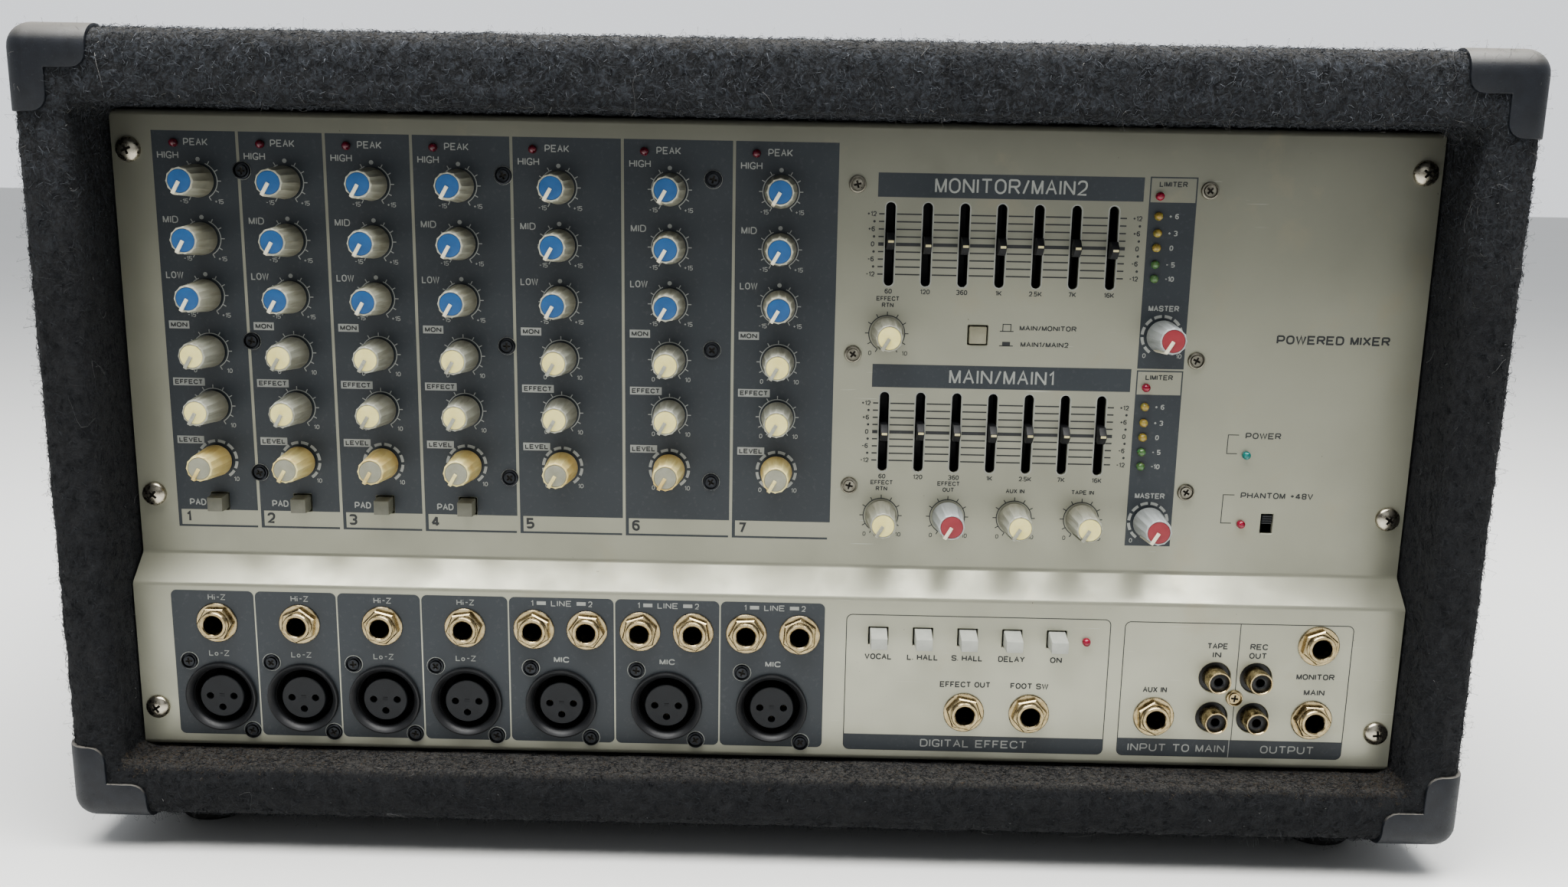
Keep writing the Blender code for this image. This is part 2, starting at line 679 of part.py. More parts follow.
def make_tray(finish):
    """The sheet tray on the cabinet floor, with a lip along its front and back."""
    low_y, high_y = LOWER_BOARD + 4 * MM, REAR_BOARD - 4 * MM
    half = PANEL_WIDTH / 2 - 20 * MM
    bottom = PANEL_BOTTOM
    lip = 12 * MM

    def add_plate(bm):
        add_box(bm, (-half, low_y, bottom), (half, high_y, bottom + SHEET))

    def add_lips(bm):
        for y in (low_y, high_y - SHEET):
            add_box(bm, (-half, y, bottom + SHEET / 2), (half, y + SHEET, bottom + lip))

    tray = add_object("chassis_tray", mesh_of("chassis_tray", add_plate), finish)
    boolean(tray, "UNION", add_cutter("tray_lips", add_lips), "Lips")


def make_transformer(finish):
    """A toroidal mains transformer under a dished washer and bolt."""
    radius, height = TRANSFORMER_RADIUS, TRANSFORMER_HEIGHT
    profile = (
        (0, height + 9 * MM),
        (8 * MM, height + 9 * MM),
        (8 * MM, height + 3 * MM),
        (28 * MM, height),
        (radius - 12 * MM, height),
        (radius, height - 12 * MM),
        (radius, 12 * MM),
        (radius - 12 * MM, 0),
        (0, 0),
    )
    mesh = turned_mesh("power_transformer", profile, 20)
    transformer = add_object("power_transformer", mesh, finish)
    transformer.location = (*TRANSFORMER_CENTRE, PANEL_BOTTOM + SHEET + GAP)


def make_supply_board(finish):
    """The power supply's board on stand-offs, with its two large capacitors and a rectifier."""
    bottom = PANEL_BOTTOM + SHEET + GAP
    plate = bottom + 8 * MM

    def add_parts(bm):
        for x in (45 * MM, 95 * MM):
            bmesh.ops.create_cone(
                bm,
                cap_ends=True,
                segments=16,
                radius1=17 * MM,
                radius2=17 * MM,
                depth=50 * MM,
                matrix=Matrix.Translation((x, 20 * MM, plate + 25 * MM + BOARD / 2)),
            )
        add_box(bm, (55 * MM, -36 * MM, plate + BOARD / 2), (85 * MM, -30 * MM, plate + 22 * MM))
        for x in (12 * MM, 128 * MM):
            for y in (-48 * MM, 48 * MM):
                add_box(bm, (x - 3 * MM, y - 3 * MM, bottom), (x + 3 * MM, y + 3 * MM, plate + BOARD / 2))

    low, high = (5 * MM, -55 * MM, plate), (135 * MM, 55 * MM, plate + BOARD)
    make_board("supply_board", low, high, finish, (add_parts,))


# ---- moving controls ----


def make_knobs(finishes):
    """The knobs that turn on their own axes, each with its shaft and a raised pointer."""

    def add_ridge(bm):
        half = POINTER_WIDTH / 2
        low, high = KNOB_TOP - 4 * MM, KNOB_TOP + POINTER_PROUD
        ridge = add_box(bm, (-half, 0.8 * MM, low), (half, POINTER_REACH, high))
        bmesh.ops.rotate(bm, cent=(0, 0, 0), matrix=Matrix.Rotation(KNOB_MINIMUM, 3, "Z"), verts=ridge)

    profile = (
        (0, KNOB_TOP),
        (KNOB_TIP, KNOB_TOP),
        (KNOB_BASE, KNOB_LIFT),
        (SHAFT_RADIUS, KNOB_LIFT),
        (SHAFT_RADIUS, -SHAFT_DEPTH),
        (0, -SHAFT_DEPTH),
    )
    ridge = add_cutter("pointer", add_ridge)
    base = turned_mesh("knob", profile, 12, ridge)
    meshes = {}
    for name, finish in finishes.items():
        meshes[name] = base.copy()
        meshes[name].materials.clear()
        meshes[name].materials.append(finish)
    for number, x in enumerate(CHANNEL_COLUMNS, 1):
        for kind, z in (("effect", EFFECT_ROW), ("level", LEVEL_ROW)):
            knob = add_object(f"ch{number}_{kind}_knob", meshes[kind], None)
            place(knob, x, UPPER_FACE, z)
    for name, (x, z) in MASTER_KNOBS.items():
        kind = "master" if "master" in name or name == "effect_out_knob" else "return"
        place(add_object(name, meshes[kind], None), x, UPPER_FACE, z)


def wedge_mesh(name, width, height, tip_height, proud, depth):
    """A bar through a panel on local Z, whose stretch in front of the panel tapers to its tip."""

    def build(bm):
        rear = add_box(bm, (-width / 2, -height / 2, -depth), (width / 2, height / 2, proud))
        bmesh.ops.bisect_plane(bm, geom=bm.faces[:] + bm.edges[:] + rear, plane_co=(0, 0, 0), plane_no=(0, 0, 1))
        for vert in bm.verts:
            if vert.co.z > proud / 2:
                vert.co.y *= tip_height / height

    return mesh_of(name, build)


def make_faders(finish):
    lever = wedge_mesh("fader", FADER_WIDTH, FADER_HEIGHT, FADER_TIP_HEIGHT, FADER_PROUD, FADER_DEPTH)
    rows = (("monitor", MONITOR_EQ_ROW, MONITOR_FADER_OFFSETS), ("main", MAIN_EQ_ROW, MAIN_FADER_OFFSETS))
    for name, row, offsets in rows:
        for band, x in enumerate(BAND_COLUMNS):
            fader = add_object(f"{name}_eq_fader_{band + 1}", lever, finish)
            place(fader, x, UPPER_FACE, row + offsets[band])


def make_buttons(pad_finish, route_finish, key_finish):
    pad = wedge_mesh("pad_button", PAD_SIZE, PAD_SIZE, PAD_SIZE * 0.9, PAD_PROUD, BUTTON_DEPTH)
    for number, x in enumerate(MIC_COLUMNS, 1):
        place(add_object(f"pad_button_{number}", pad, pad_finish), x, UPPER_FACE, PAD_ROW)
    route = wedge_mesh("route_button", ROUTE_SIZE, ROUTE_SIZE, ROUTE_SIZE * 0.95, ROUTE_PROUD, BUTTON_DEPTH)
    place(add_object("main_monitor_button", route, route_finish), ROUTE_BUTTON[0], UPPER_FACE, ROUTE_BUTTON[1])
    key = wedge_mesh("effect_key", KEY_WIDTH, KEY_HEIGHT, KEY_TIP_HEIGHT, KEY_PROUD, BUTTON_DEPTH)
    for number, x in enumerate(KEY_COLUMNS, 1):
        place(add_object(f"effect_key_{number}", key, key_finish), x, LOWER_FACE, KEY_ROW)


def make_phantom_switch(finish):
    """The slide switch's actuator, at the upper end of its slot and just below the panel face."""
    mesh = wedge_mesh("phantom", PHANTOM_WIDTH, PHANTOM_HEIGHT, PHANTOM_HEIGHT * 0.9, 0.3 * MM, BUTTON_DEPTH)
    switch = add_object("phantom_switch", mesh, finish)
    place(switch, PHANTOM_SWITCH[0], UPPER_FACE, PHANTOM_SWITCH[1] + PHANTOM_TRAVEL / 2)


def main():
    clear_scene()
    carpet = material("charcoal_carpet", (0.022, 0.023, 0.027), 0.95)
    paint = material("warm_grey_paint", (0.36, 0.355, 0.32), 0.45, 0.3)
    black_steel = material("black_steel", (0.02, 0.02, 0.02), 0.5)
    zinc = material("zinc_plated_steel", (0.55, 0.56, 0.55), 0.35, 1.0)
    circuit = material("circuit_board", (0.03, 0.12, 0.05), 0.5)
    aluminium = material("aluminium", (0.6, 0.61, 0.62), 0.4, 1.0)
    tape = material("transformer_tape", (0.35, 0.3, 0.08), 0.5)
    black = material("black_plastic", (0.012, 0.013, 0.015), 0.4)
    grey = material("grey_plastic", (0.1, 0.105, 0.11), 0.45)
    cream = material("cream_plastic", (0.6, 0.53, 0.37), 0.45)
    red = material("red_cap_plastic", (0.35, 0.04, 0.03), 0.4)
    beige = material("beige_plastic", (0.42, 0.4, 0.3), 0.4)
    pad_grey = material("pad_button_plastic", (0.2, 0.2, 0.17), 0.45)
    key_grey = material("effect_key_plastic", (0.5, 0.51, 0.48), 0.45)

    make_cabinet(carpet)
    make_front_panel(paint)
    make_rear_panel(black_steel)
    make_tray(zinc)
    xlr, jack, phono = xlr_mesh(), jack_mesh(), phono_mesh()
    make_channel_board(circuit)
    make_equalizer_board(circuit)
    make_socket_boards(circuit, xlr, jack, phono)
    make_amplifier_board(circuit, jack)
    make_heatsink(aluminium)
    make_mains_inlet(black)
    make_rocker(black)
    make_transformer(tape)
    make_supply_board(circuit)
    make_knobs({"effect": grey, "level": cream, "master": red, "return": grey})
    make_faders(black)
    make_buttons(pad_grey, beige, key_grey)
    make_phantom_switch(black)


main()
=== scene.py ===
"""Looks of a powered mixer with two graphic equalizers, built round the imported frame.

+Z up, +X to the operator's right, -Y towards the operator. Sizes are in millimetres here. The helpers that
make meshes and set places turn them into Blender's metres.
"""

import math
import random

import bmesh
import bpy
import numpy as np
from mathutils import Matrix, Vector


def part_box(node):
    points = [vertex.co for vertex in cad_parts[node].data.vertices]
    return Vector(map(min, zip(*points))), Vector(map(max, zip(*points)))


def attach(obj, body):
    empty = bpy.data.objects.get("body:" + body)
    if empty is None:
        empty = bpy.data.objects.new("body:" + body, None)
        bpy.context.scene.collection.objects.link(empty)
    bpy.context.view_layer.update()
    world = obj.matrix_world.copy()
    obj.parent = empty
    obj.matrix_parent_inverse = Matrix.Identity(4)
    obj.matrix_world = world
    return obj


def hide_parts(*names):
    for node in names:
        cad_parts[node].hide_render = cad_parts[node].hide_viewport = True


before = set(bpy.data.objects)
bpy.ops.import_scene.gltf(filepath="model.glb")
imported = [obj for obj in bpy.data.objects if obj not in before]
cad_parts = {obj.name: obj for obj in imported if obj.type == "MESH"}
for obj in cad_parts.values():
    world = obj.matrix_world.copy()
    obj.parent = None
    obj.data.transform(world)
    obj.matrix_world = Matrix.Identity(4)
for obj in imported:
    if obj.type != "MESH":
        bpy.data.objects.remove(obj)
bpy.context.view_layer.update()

MM = 0.001
FACING_FRONT = Matrix.Rotation(math.radians(90), 4, "X")
FACING_REAR = Matrix.Rotation(math.radians(-90), 4, "X")
FINISHES = {}

# ---- places, taken from the frame ----


def box_of(node):
    """A node's far corners, in millimetres."""
    low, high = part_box(node)
    return low / MM, high / MM


def moved(x, y, z):
    return Matrix.Translation(Vector((x, y, z)) * MM)


def centre(node):
    low, high = box_of(node)
    return (low + high) / 2


def place_of(node):
    """A node's middle, as (x, z)."""
    middle = centre(node)
    return middle.x, middle.z


CABINET_LOW, CABINET_HIGH = box_of("cabinet")
PANEL_LOW, PANEL_HIGH = box_of("front_panel")
REAR_LOW, REAR_HIGH = box_of("rear_panel")
LOWER_FACE = PANEL_LOW.y
UPPER_FACE = LOWER_FACE + 9.2
REAR_FACE = REAR_HIGH.y
SHEET = 1.5
FLANGE = 12
LOWER_BEND = PANEL_LOW.z + 60.5
UPPER_BEND = PANEL_LOW.z + 69.3
CHANNELS = range(1, 8)
MIC_CHANNELS = range(1, 5)
STEREO_CHANNELS = range(5, 8)
COLUMN = {n: centre(f"ch{n}_effect_knob").x for n in CHANNELS}
EFFECT_ROW = centre("ch1_effect_knob").z
LEVEL_ROW = centre("ch1_level_knob").z
ROW_STEP = EFFECT_ROW - LEVEL_ROW
TONE_ROWS = {name: EFFECT_ROW + k * ROW_STEP for name, k in (("mon", 1), ("low", 2), ("mid", 3), ("high", 4))}
PAD_ROW = centre("pad_button_1").z
BANDS = range(1, 8)
BAND_COLUMN = {n: centre(f"main_eq_fader_{n}").x for n in BANDS}
EQ_ROWS = {"monitor": 215.5, "main": 151}
MASTERS = [
    "monitor_master_knob",
    "main_master_knob",
    "monitor_effect_return_knob",
    "main_effect_return_knob",
    "effect_out_knob",
    "aux_in_knob",
    "tape_in_knob",
]
KEYS = range(1, 6)
XLR_ROW = 52
JACK_ROW = 79.5
STEREO_JACK_OFFSET = 9.35
OUTPUT_JACKS = {
    "effect_out_jack": (70.6, XLR_ROW),
    "foot_switch_jack": (93.7, XLR_ROW),
    "aux_in_jack": (137.9, XLR_ROW),
    "main_out_jack": (193.7, XLR_ROW),
    "monitor_out_jack": (193.7, JACK_ROW),
}
PHONO_SOCKETS = {
    "tape_in_left": (158.4, 67.1),
    "tape_in_right": (158.4, 52.2),
    "rec_out_left": (172.9, 67.1),
    "rec_out_right": (172.9, 52.2),
}
SLOT_WIDTH = 3.2
SLOT_LENGTH = 28
KNOB_HOLE, JACK_HOLE, XLR_HOLE = 4, 5.6, 12.3
BOARD = 1.6
POT = 11
SPEAKER_JACKS = [-188 + 24 * i for i in range(4)]
SPEAKER_ROW = 150

# ---- mesh helpers ----


def mesh_of(bm, name):
    mesh = bpy.data.meshes.new(name)
    bm.to_mesh(mesh)
    bm.free()
    return mesh


def smooth(mesh, angle):
    mesh.shade_smooth()
    mesh.set_sharp_from_angle(angle=math.radians(angle))


def mesh_from(name, builds, angle=35):
    """A smooth-shaded mesh. Each of builds adds its faces, which take that place's material."""
    bm = bmesh.new()
    for number, build in enumerate(builds):
        before = len(bm.faces)
        build(bm)
        bm.faces.ensure_lookup_table()
        for face in bm.faces[before:]:
            face.material_index = number
    bmesh.ops.recalc_face_normals(bm, faces=bm.faces)
    mesh = mesh_of(bm, name)
    smooth(mesh, angle)
    return mesh


def add_piece(name, mesh, looks, slot, body="console", at=None, stands_for=()):
    """A visible piece. Its looks are names of finishes, one for each of the mesh's builds."""
    piece = loose(name, mesh)
    if not mesh.materials:
        for look in looks.split():
            mesh.materials.append(FINISHES[look])
    if at is not None:
        piece.matrix_world = at
    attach(piece, body)
    if stands_for:
        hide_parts(*stands_for)


def on_face(x, face, z, facing=FACING_FRONT, turn=0.0):
    """Puts local Z along a panel's outward normal, with the origin on its face."""
    return moved(x, face, z) @ facing @ Matrix.Rotation(turn, 4, "Z")


def round_edges(bm, edges, radius, segments=2):
    bmesh.ops.bevel(bm, geom=edges, offset=radius * MM, segments=segments, affect="EDGES", profile=0.5)


def add_box(bm, low, high, radius=0.0, segments=2):
    low, high = Vector(low) * MM, Vector(high) * MM
    matrix = Matrix.Translation((low + high) / 2) @ Matrix.Diagonal((*(high - low), 1))
    verts = bmesh.ops.create_cube(bm, size=1, matrix=matrix)["verts"]
    if radius:
        round_edges(bm, list({edge for vert in verts for edge in vert.link_edges}), radius, segments)


def add_block(bm, x, z, width, height, front, back, radius=0.0):
    """A box centred on (x, z), between two depths."""
    add_box(bm, (x - width / 2, front, z - height / 2), (x + width / 2, back, z + height / 2), radius)


def add_turned(bm, profile, sides=32, matrix=Matrix(), scallop=None):
    """A solid turned about local Z through (radius, height) points, closed where the radius is zero."""
    rings = []
    for radius, height in profile:
        ring = []
        for i in range(sides if radius else 1):
            angle = 2 * math.pi * i / sides
            reach = radius * (scallop(angle, height) if scallop else 1)
            point = Vector((reach * math.cos(angle), reach * math.sin(angle), height)) * MM
            ring.append(bm.verts.new(matrix @ point))
        rings.append(ring)
    for first, second in zip(rings, rings[1:]):
        for i in range(sides):
            j = (i + 1) % sides
            if len(first) == 1:
                bm.faces.new((first[0], second[i], second[j]))
            elif len(second) == 1:
                bm.faces.new((first[i], second[0], first[j]))
            else:
                bm.faces.new((first[i], second[i], second[j], first[j]))


def add_loft(bm, sections):
    """A closed skin over outlines that have the same number of points."""
    rings = [[bm.verts.new(Vector(point) * MM) for point in outline] for outline in sections]
    for first, second in zip(rings, rings[1:]):
        for i in range(len(first)):
            j = (i + 1) % len(first)
            bm.faces.new((first[i], second[i], second[j], first[j]))
    bm.faces.new(rings[0])
    bm.faces.new(list(reversed(rings[-1])))


def add_mesh(bm, mesh, matrix=Matrix()):
    before = len(bm.verts)
    bm.from_mesh(mesh)
    bm.verts.ensure_lookup_table()
    bmesh.ops.transform(bm, matrix=matrix, verts=bm.verts[before:])


def add_soft_loft(bm, sections, soft, matrix=Matrix()):
    """A loft whose own edges are rounded."""
    made = bmesh.new()
    add_loft(made, sections)
    bmesh.ops.recalc_face_normals(made, faces=made.faces)
    round_edges(made, made.edges[:], soft)
    add_mesh(bm, mesh_of(made, "soft_loft"), matrix)


def rounded_path(points, radius, steps=6, closed=False):
    """The path through 2D points, with an arc at each inner corner. Radius may be one for each point."""
    out = []
    count = len(points)
    for i, point in enumerate(points):
        reach = radius[i] if isinstance(radius, list) else radius
        if reach == 0 or not closed and i in (0, count - 1):
            out.append(tuple(point))
            continue
        corner = Vector(point)
        before = Vector(points[i - 1]) - corner
        after = Vector(points[(i + 1) % count]) - corner
        half = before.angle(after) / 2
        share_before = 0.49 if closed or i > 1 else 0.98
        share_after = 0.49 if closed or i < count - 2 else 0.98
        trim = min(reach / math.tan(half), share_before * before.length, share_after * after.length)
        bend = trim * math.tan(half)
        middle = corner + (before.normalized() + after.normalized()).normalized() * (bend / math.sin(half))
        start = corner + before.normalized() * trim - middle
        end = corner + after.normalized() * trim - middle
        for k in range(steps + 1):
            out.append(tuple(middle + start.lerp(end, k / steps).normalized() * bend))
    return out


def rounded_rect(x, z, width, height, radius, steps=5):
    """The outline of a rectangle centred on (x, z), with round corners."""
    w, h = width / 2, height / 2
    corners = [(x - w, z - h), (x + w, z - h), (x + w, z + h), (x - w, z + h)]
    if radius == 0:
        return corners
    return rounded_path(corners, radius, steps, closed=True)


def circle(x, z, radius, sides=24):
    return [
        (x + radius * math.cos(2 * math.pi * i / sides), z + radius * math.sin(2 * math.pi * i / sides))
        for i in range(sides)
    ]


def at_depth(outline, y):
    return [(x, y, z) for x, z in outline]


def baked(obj, name, angle=35):
    """The object's mesh with its modifiers applied. The object is removed."""
    graph = bpy.context.evaluated_depsgraph_get()
    mesh = bpy.data.meshes.new_from_object(obj.evaluated_get(graph))
    mesh.name = name
    bpy.data.objects.remove(obj)
    smooth(mesh, angle)
    return mesh


def loose(name, data):
    """An object in the scene, made from a mesh, a light or a camera."""
    obj = bpy.data.objects.new(name, data)
    bpy.context.scene.collection.objects.link(obj)
    return obj


def modified(obj, kind, **settings):
    modifier = obj.modifiers.new(kind.title(), kind)
    for key, value in settings.items():
        setattr(modifier, key, value)


def cut(mesh, build, name, operation="DIFFERENCE", angle=35, weighted=False, use_self=False):
    """The mesh less, or with, the solids that build makes."""
    cutter = loose("cutter", mesh_from("cutter", [build]))
    target = loose("target", mesh)
    modified(target, "BOOLEAN", operation=operation, object=cutter, solver="EXACT", use_self=use_self)
    if weighted:
        smooth(mesh, angle)
        modified(target, "WEIGHTED_NORMAL", keep_sharp=True, weight=100)
    made = baked(target, name, angle)
    bpy.data.objects.remove(cutter)
    return made


# ---- shader helpers ----


def new_material(name, roughness=0.5, metallic=0.0, **constants):
    """A material with its Principled shader. Constants are socket names with _ for a space."""
    made = bpy.data.materials.new(name)
    made.use_nodes = True
    shader = made.node_tree.nodes["Principled BSDF"]
    shader.inputs["Roughness"].default_value = roughness
    shader.inputs["Metallic"].default_value = metallic
    for key, value in constants.items():
        shader.inputs[key.replace("_", " ")].default_value = value
    return made, made.node_tree, shader


def add_node(tree, kind, inputs=(), **settings):
    made = tree.nodes.new("ShaderNode" + kind)
    for key, value in settings.items():
        setattr(made, key, value)
    for key, value in dict(inputs).items():
        if isinstance(value, bpy.types.NodeSocket):
            tree.links.new(value, made.inputs[key])
        else:
            made.inputs[key].default_value = value
    return made


def millimetres(tree, stretch=(1, 1, 1)):
    """The object's own coordinates, in millimetres, scaled along each axis."""
    coordinates = add_node(tree, "TexCoord").outputs["Object"]
    scale = tuple(1000 * s for s in stretch)
    return add_node(tree, "VectorMath", {0: coordinates, 1: scale}, operation="MULTIPLY").outputs[0]


def per_piece(tree, vector):
    """Shifts coordinates by a different amount for each object, so that copies aren't alike."""
    chance = add_node(tree, "ObjectInfo").outputs["Random"]
    shift = add_node(tree, "Math", {0: chance, 1: 500.0}, operation="MULTIPLY").outputs[0]
    return add_node(tree, "VectorMath", {0: vector, 1: shift}, operation="ADD").outputs[0]


def grain(tree, vector, scale, detail=4.0, roughness=0.55):
    inputs = {"Vector": vector, "Scale": scale, "Detail": detail, "Roughness": roughness}
    return add_node(tree, "TexNoise", inputs).outputs["Fac"]


def remap(tree, value, low, high, to_low=0.0, to_high=1.0):
    inputs = {"Value": value, "From Min": low, "From Max": high, "To Min": to_low, "To Max": to_high}
    return add_node(tree, "MapRange", inputs).outputs["Result"]


def blend(tree, factor, first, second, kind="MIX"):
    mix = add_node(tree, "Mix", data_type="RGBA", blend_type=kind)
    for place, value in ((0, factor), (6, first), (7, second)):
        if isinstance(value, bpy.types.NodeSocket):
            tree.links.new(value, mix.inputs[place])
        elif place == 0:
            mix.inputs[0].default_value = value
        else:
            mix.inputs[place].default_value = (*value, 1)
    return mix.outputs[2]


def product(tree, first, second):
    return add_node(tree, "Math", {0: first, 1: second}, operation="MULTIPLY").outputs[0]


def rough_by(tree, shader, value, low, high):
    tree.links.new(remap(tree, value, 0.3, 0.7, low, high), shader.inputs["Roughness"])


def bumped(tree, shader, height, strength, distance):
    made = add_node(tree, "Bump", {"Height": height, "Strength": strength, "Distance": distance * MM})
    tree.links.new(made.outputs[0], shader.inputs["Normal"])


def painted(tree, shader, colour):
    tree.links.new(colour, shader.inputs["Base Color"])


# ---- materials ----


def height_of(tree, vector):
    return add_node(tree, "SeparateXYZ", {0: vector}).outputs[2]


def facing_up(tree):
    """How far a surface faces upwards, from 0 to 1."""
    normal = add_node(tree, "NewGeometry").outputs["Normal"]
    return remap(tree, height_of(tree, normal), 0.3, 1.0)


def worn_low(tree, place):
    """Painted shade: 1 near the floor, where the carpet is darkest, falling to 0 at the top."""
    height = height_of(tree, place)
    return remap(tree, height, 190, 268, 1, 0)


def make_carpet():
    """Charcoal needle felt: matted tufts with lighter tips, dust on what faces up, specks of lint, and
    painted shade darkening it towards the floor.
    """
    made, tree, shader = new_material("felt_carpet", 0.95, Sheen_Weight=0.04, Sheen_Roughness=0.6)
    place = millimetres(tree)
    inputs = {"Vector": place, "Scale": 0.42, "Detail": 8.0, "Roughness": 0.75, "Distortion": 1.4}
    tuft = add_node(tree, "TexNoise", inputs).outputs["Fac"]
    patch = grain(tree, place, 0.06, 3)
    colour = blend(tree, remap(tree, tuft, 0.44, 0.66), (0.003, 0.0038, 0.0052), (0.075, 0.085, 0.104))
    colour = blend(tree, remap(tree, patch, 0.4, 0.7, 0, 0.3), colour, (0.018, 0.021, 0.026))
    # painted shade: the felt darker towards the floor
    colour = blend(tree, product(tree, worn_low(tree, place), 0.82), colour, (0.0035, 0.0045, 0.0068))
    dust = product(tree, facing_up(tree), remap(tree, grain(tree, place, 1.3, 6, 0.7), 0.4, 0.65))
    colour = blend(tree, product(tree, dust, 0.7), colour, (0.14, 0.128, 0.108))
    lint = remap(tree, grain(tree, place, 1.9, 2), 0.755, 0.78)
    painted(tree, shader, blend(tree, lint, colour, (0.25, 0.25, 0.24)))
    bumped(tree, shader, tuft, 1.0, 2.2)
    return made


def make_fibre(name, dark, light):
    """Threads that are mostly dark, with a few much lighter ones among them, and painted shade darkening them
    towards the floor.
    """
    made, tree, shader = new_material(name, 0.85)
    chance = add_node(tree, "NewGeometry").outputs["Random Per Island"]
    shade = add_node(tree, "Math", {0: chance, 1: 2.2}, operation="POWER").outputs[0]
    place = millimetres(tree)
    wide = grain(tree, place, 0.12, 3)
    colour = blend(tree, shade, dark, light)
    colour = blend(tree, remap(tree, wide, 0.35, 0.65, 0, 0.5), colour, dark)
    # painted shade: the threads darker towards the floor
    painted(tree, shader, blend(tree, product(tree, worn_low(tree, place), 0.82), colour, dark))
    return made


def make_plastic(name, dark, light, roughness, bump=0.12, wear=0.0, dust=0.0, **constants):
    """Moulded plastic with a fine texture, cloudy colour and, with wear, paler scuffs."""
    made, tree, shader = new_material(name, roughness, **constants)
    place = per_piece(tree, millimetres(tree))
    cloud = grain(tree, place, 0.25, 4)
    fine = grain(tree, place, 3.5, 5)
    colour = blend(tree, remap(tree, cloud, 0.3, 0.7), dark, light)
    if wear:
        scuff = product(tree, remap(tree, grain(tree, place, 0.9, 6, 0.7), 0.6, 0.72), wear)
        colour = blend(tree, scuff, colour, tuple(min(1, 2.5 * c + 0.06) for c in light))
    if dust:
        colour = blend(tree, product(tree, facing_up(tree), dust), colour, (0.17, 0.16, 0.14))
    painted(tree, shader, colour)
    rough_by(tree, shader, fine, roughness - 0.06, roughness + 0.1)
    bumped(tree, shader, fine, bump, 0.2)
    return made


def make_knob_body(name, pale, stain, amount, reach):
    """Translucent knob plastic that has yellowed, with darker grime in long streaks between its ribs, and
    painted shade darkening it towards its base.
    """
    made, tree, shader = new_material(
        name, 0.36, Subsurface_Weight=0.3, Subsurface_Radius=(1.0, 0.95, 0.85), Subsurface_Scale=MM
    )
    place = per_piece(tree, millimetres(tree))
    blotch = remap(tree, grain(tree, place, 0.1, 2), 0.45, 0.7, 0, amount)
    streak = grain(tree, per_piece(tree, millimetres(tree, (1, 1, 0.08))), 0.7, 2)
    colour = blend(tree, blotch, pale, stain)
    colour = blend(tree, remap(tree, streak, 0.5, 0.75, 0, reach), colour, tuple(0.7 * c for c in stain))
    height = height_of(tree, millimetres(tree))
    # painted shade: the body darker towards its base, near the panel
    colour = blend(tree, remap(tree, height, 14.0, 1.0, 0, 0.75), colour, tuple(0.62 * c for c in stain))
    painted(tree, shader, colour)
    rough_by(tree, shader, streak, 0.32, 0.5)
    bumped(tree, shader, grain(tree, place, 4, 3), 0.05, 0.2)
    return made


def make_panel_paint():
    """Semi-gloss silver-grey paint with faint stains, specks of dirt and hairline scratches. Painted shade
    darkens the upper face, and a painted shadow of the cabinet's overhang darkens its top.
    """
    made, tree, shader = new_material("panel_silver_grey", 0.4, 0.45)
    place = millimetres(tree)
    wide = grain(tree, place, 0.012, 4)
    colour = blend(tree, remap(tree, wide, 0.35, 0.65), (0.345, 0.345, 0.28), (0.41, 0.41, 0.335))
    height = height_of(tree, place)
    # painted shade: the paint darker going up from 72 to 100 mm, over the upper face
    colour = blend(tree, remap(tree, height, 72, 100, 0, 0.6), colour, (0.25, 0.25, 0.2))
    # painted shadow of the cabinet's overhang, darkening the top of the panel
    colour = blend(tree, remap(tree, height, 195, 252, 0, 0.6), colour, (0.12, 0.12, 0.1))
    stain = remap(tree, grain(tree, place, 0.05, 6, 0.6), 0.6, 0.8, 0, 0.35)
    colour = blend(tree, stain, colour, (0.33, 0.29, 0.2))
    speck = remap(tree, grain(tree, place, 0.8, 2), 0.77, 0.8)
    colour = blend(tree, product(tree, speck, 0.8), colour, (0.09, 0.085, 0.07))
    scratch = grain(tree, millimetres(tree, (0.05, 1, 1.6)), 1.0, 2)
    scratch = product(tree, remap(tree, scratch, 0.745, 0.76), remap(tree, wide, 0.5, 0.55))
    painted(tree, shader, blend(tree, product(tree, scratch, 0.35), colour, (0.6, 0.6, 0.55)))
    rough_by(tree, shader, grain(tree, place, 0.03, 5, 0.6), 0.28, 0.52)
    bumped(tree, shader, grain(tree, place, 5, 3), 0.05, 0.1)
    return made


def make_ink(name, dark, light, roughness=0.5):
    made, tree, shader = new_material(name, roughness)
    place = millimetres(tree)
    cloud = grain(tree, place, 0.03, 5)
    wipe = grain(tree, place, 0.6, 6, 0.7)
    colour = blend(tree, remap(tree, cloud, 0.3, 0.7), dark, light)
    painted(tree, shader, blend(tree, remap(tree, wipe, 0.55, 0.8, 0, 0.1), colour, (0.3, 0.3, 0.28)))
    rough_by(tree, shader, cloud, roughness - 0.1, roughness + 0.08)
    return made


def make_metal(name, dark, light, roughness, scratch=0.25):
    """Plated metal with cloudy tarnish and fine turning marks."""
    made, tree, shader = new_material(name, roughness, 1.0)
    place = per_piece(tree, millimetres(tree))
    cloud = grain(tree, place, 0.5, 5)
    painted(tree, shader, blend(tree, remap(tree, cloud, 0.35, 0.65), dark, light))
    fine = grain(tree, place, 6, 4)
    rough_by(tree, shader, cloud, roughness - 0.06, roughness + 0.14)
    bumped(tree, shader, fine, scratch, 0.05)
    return made


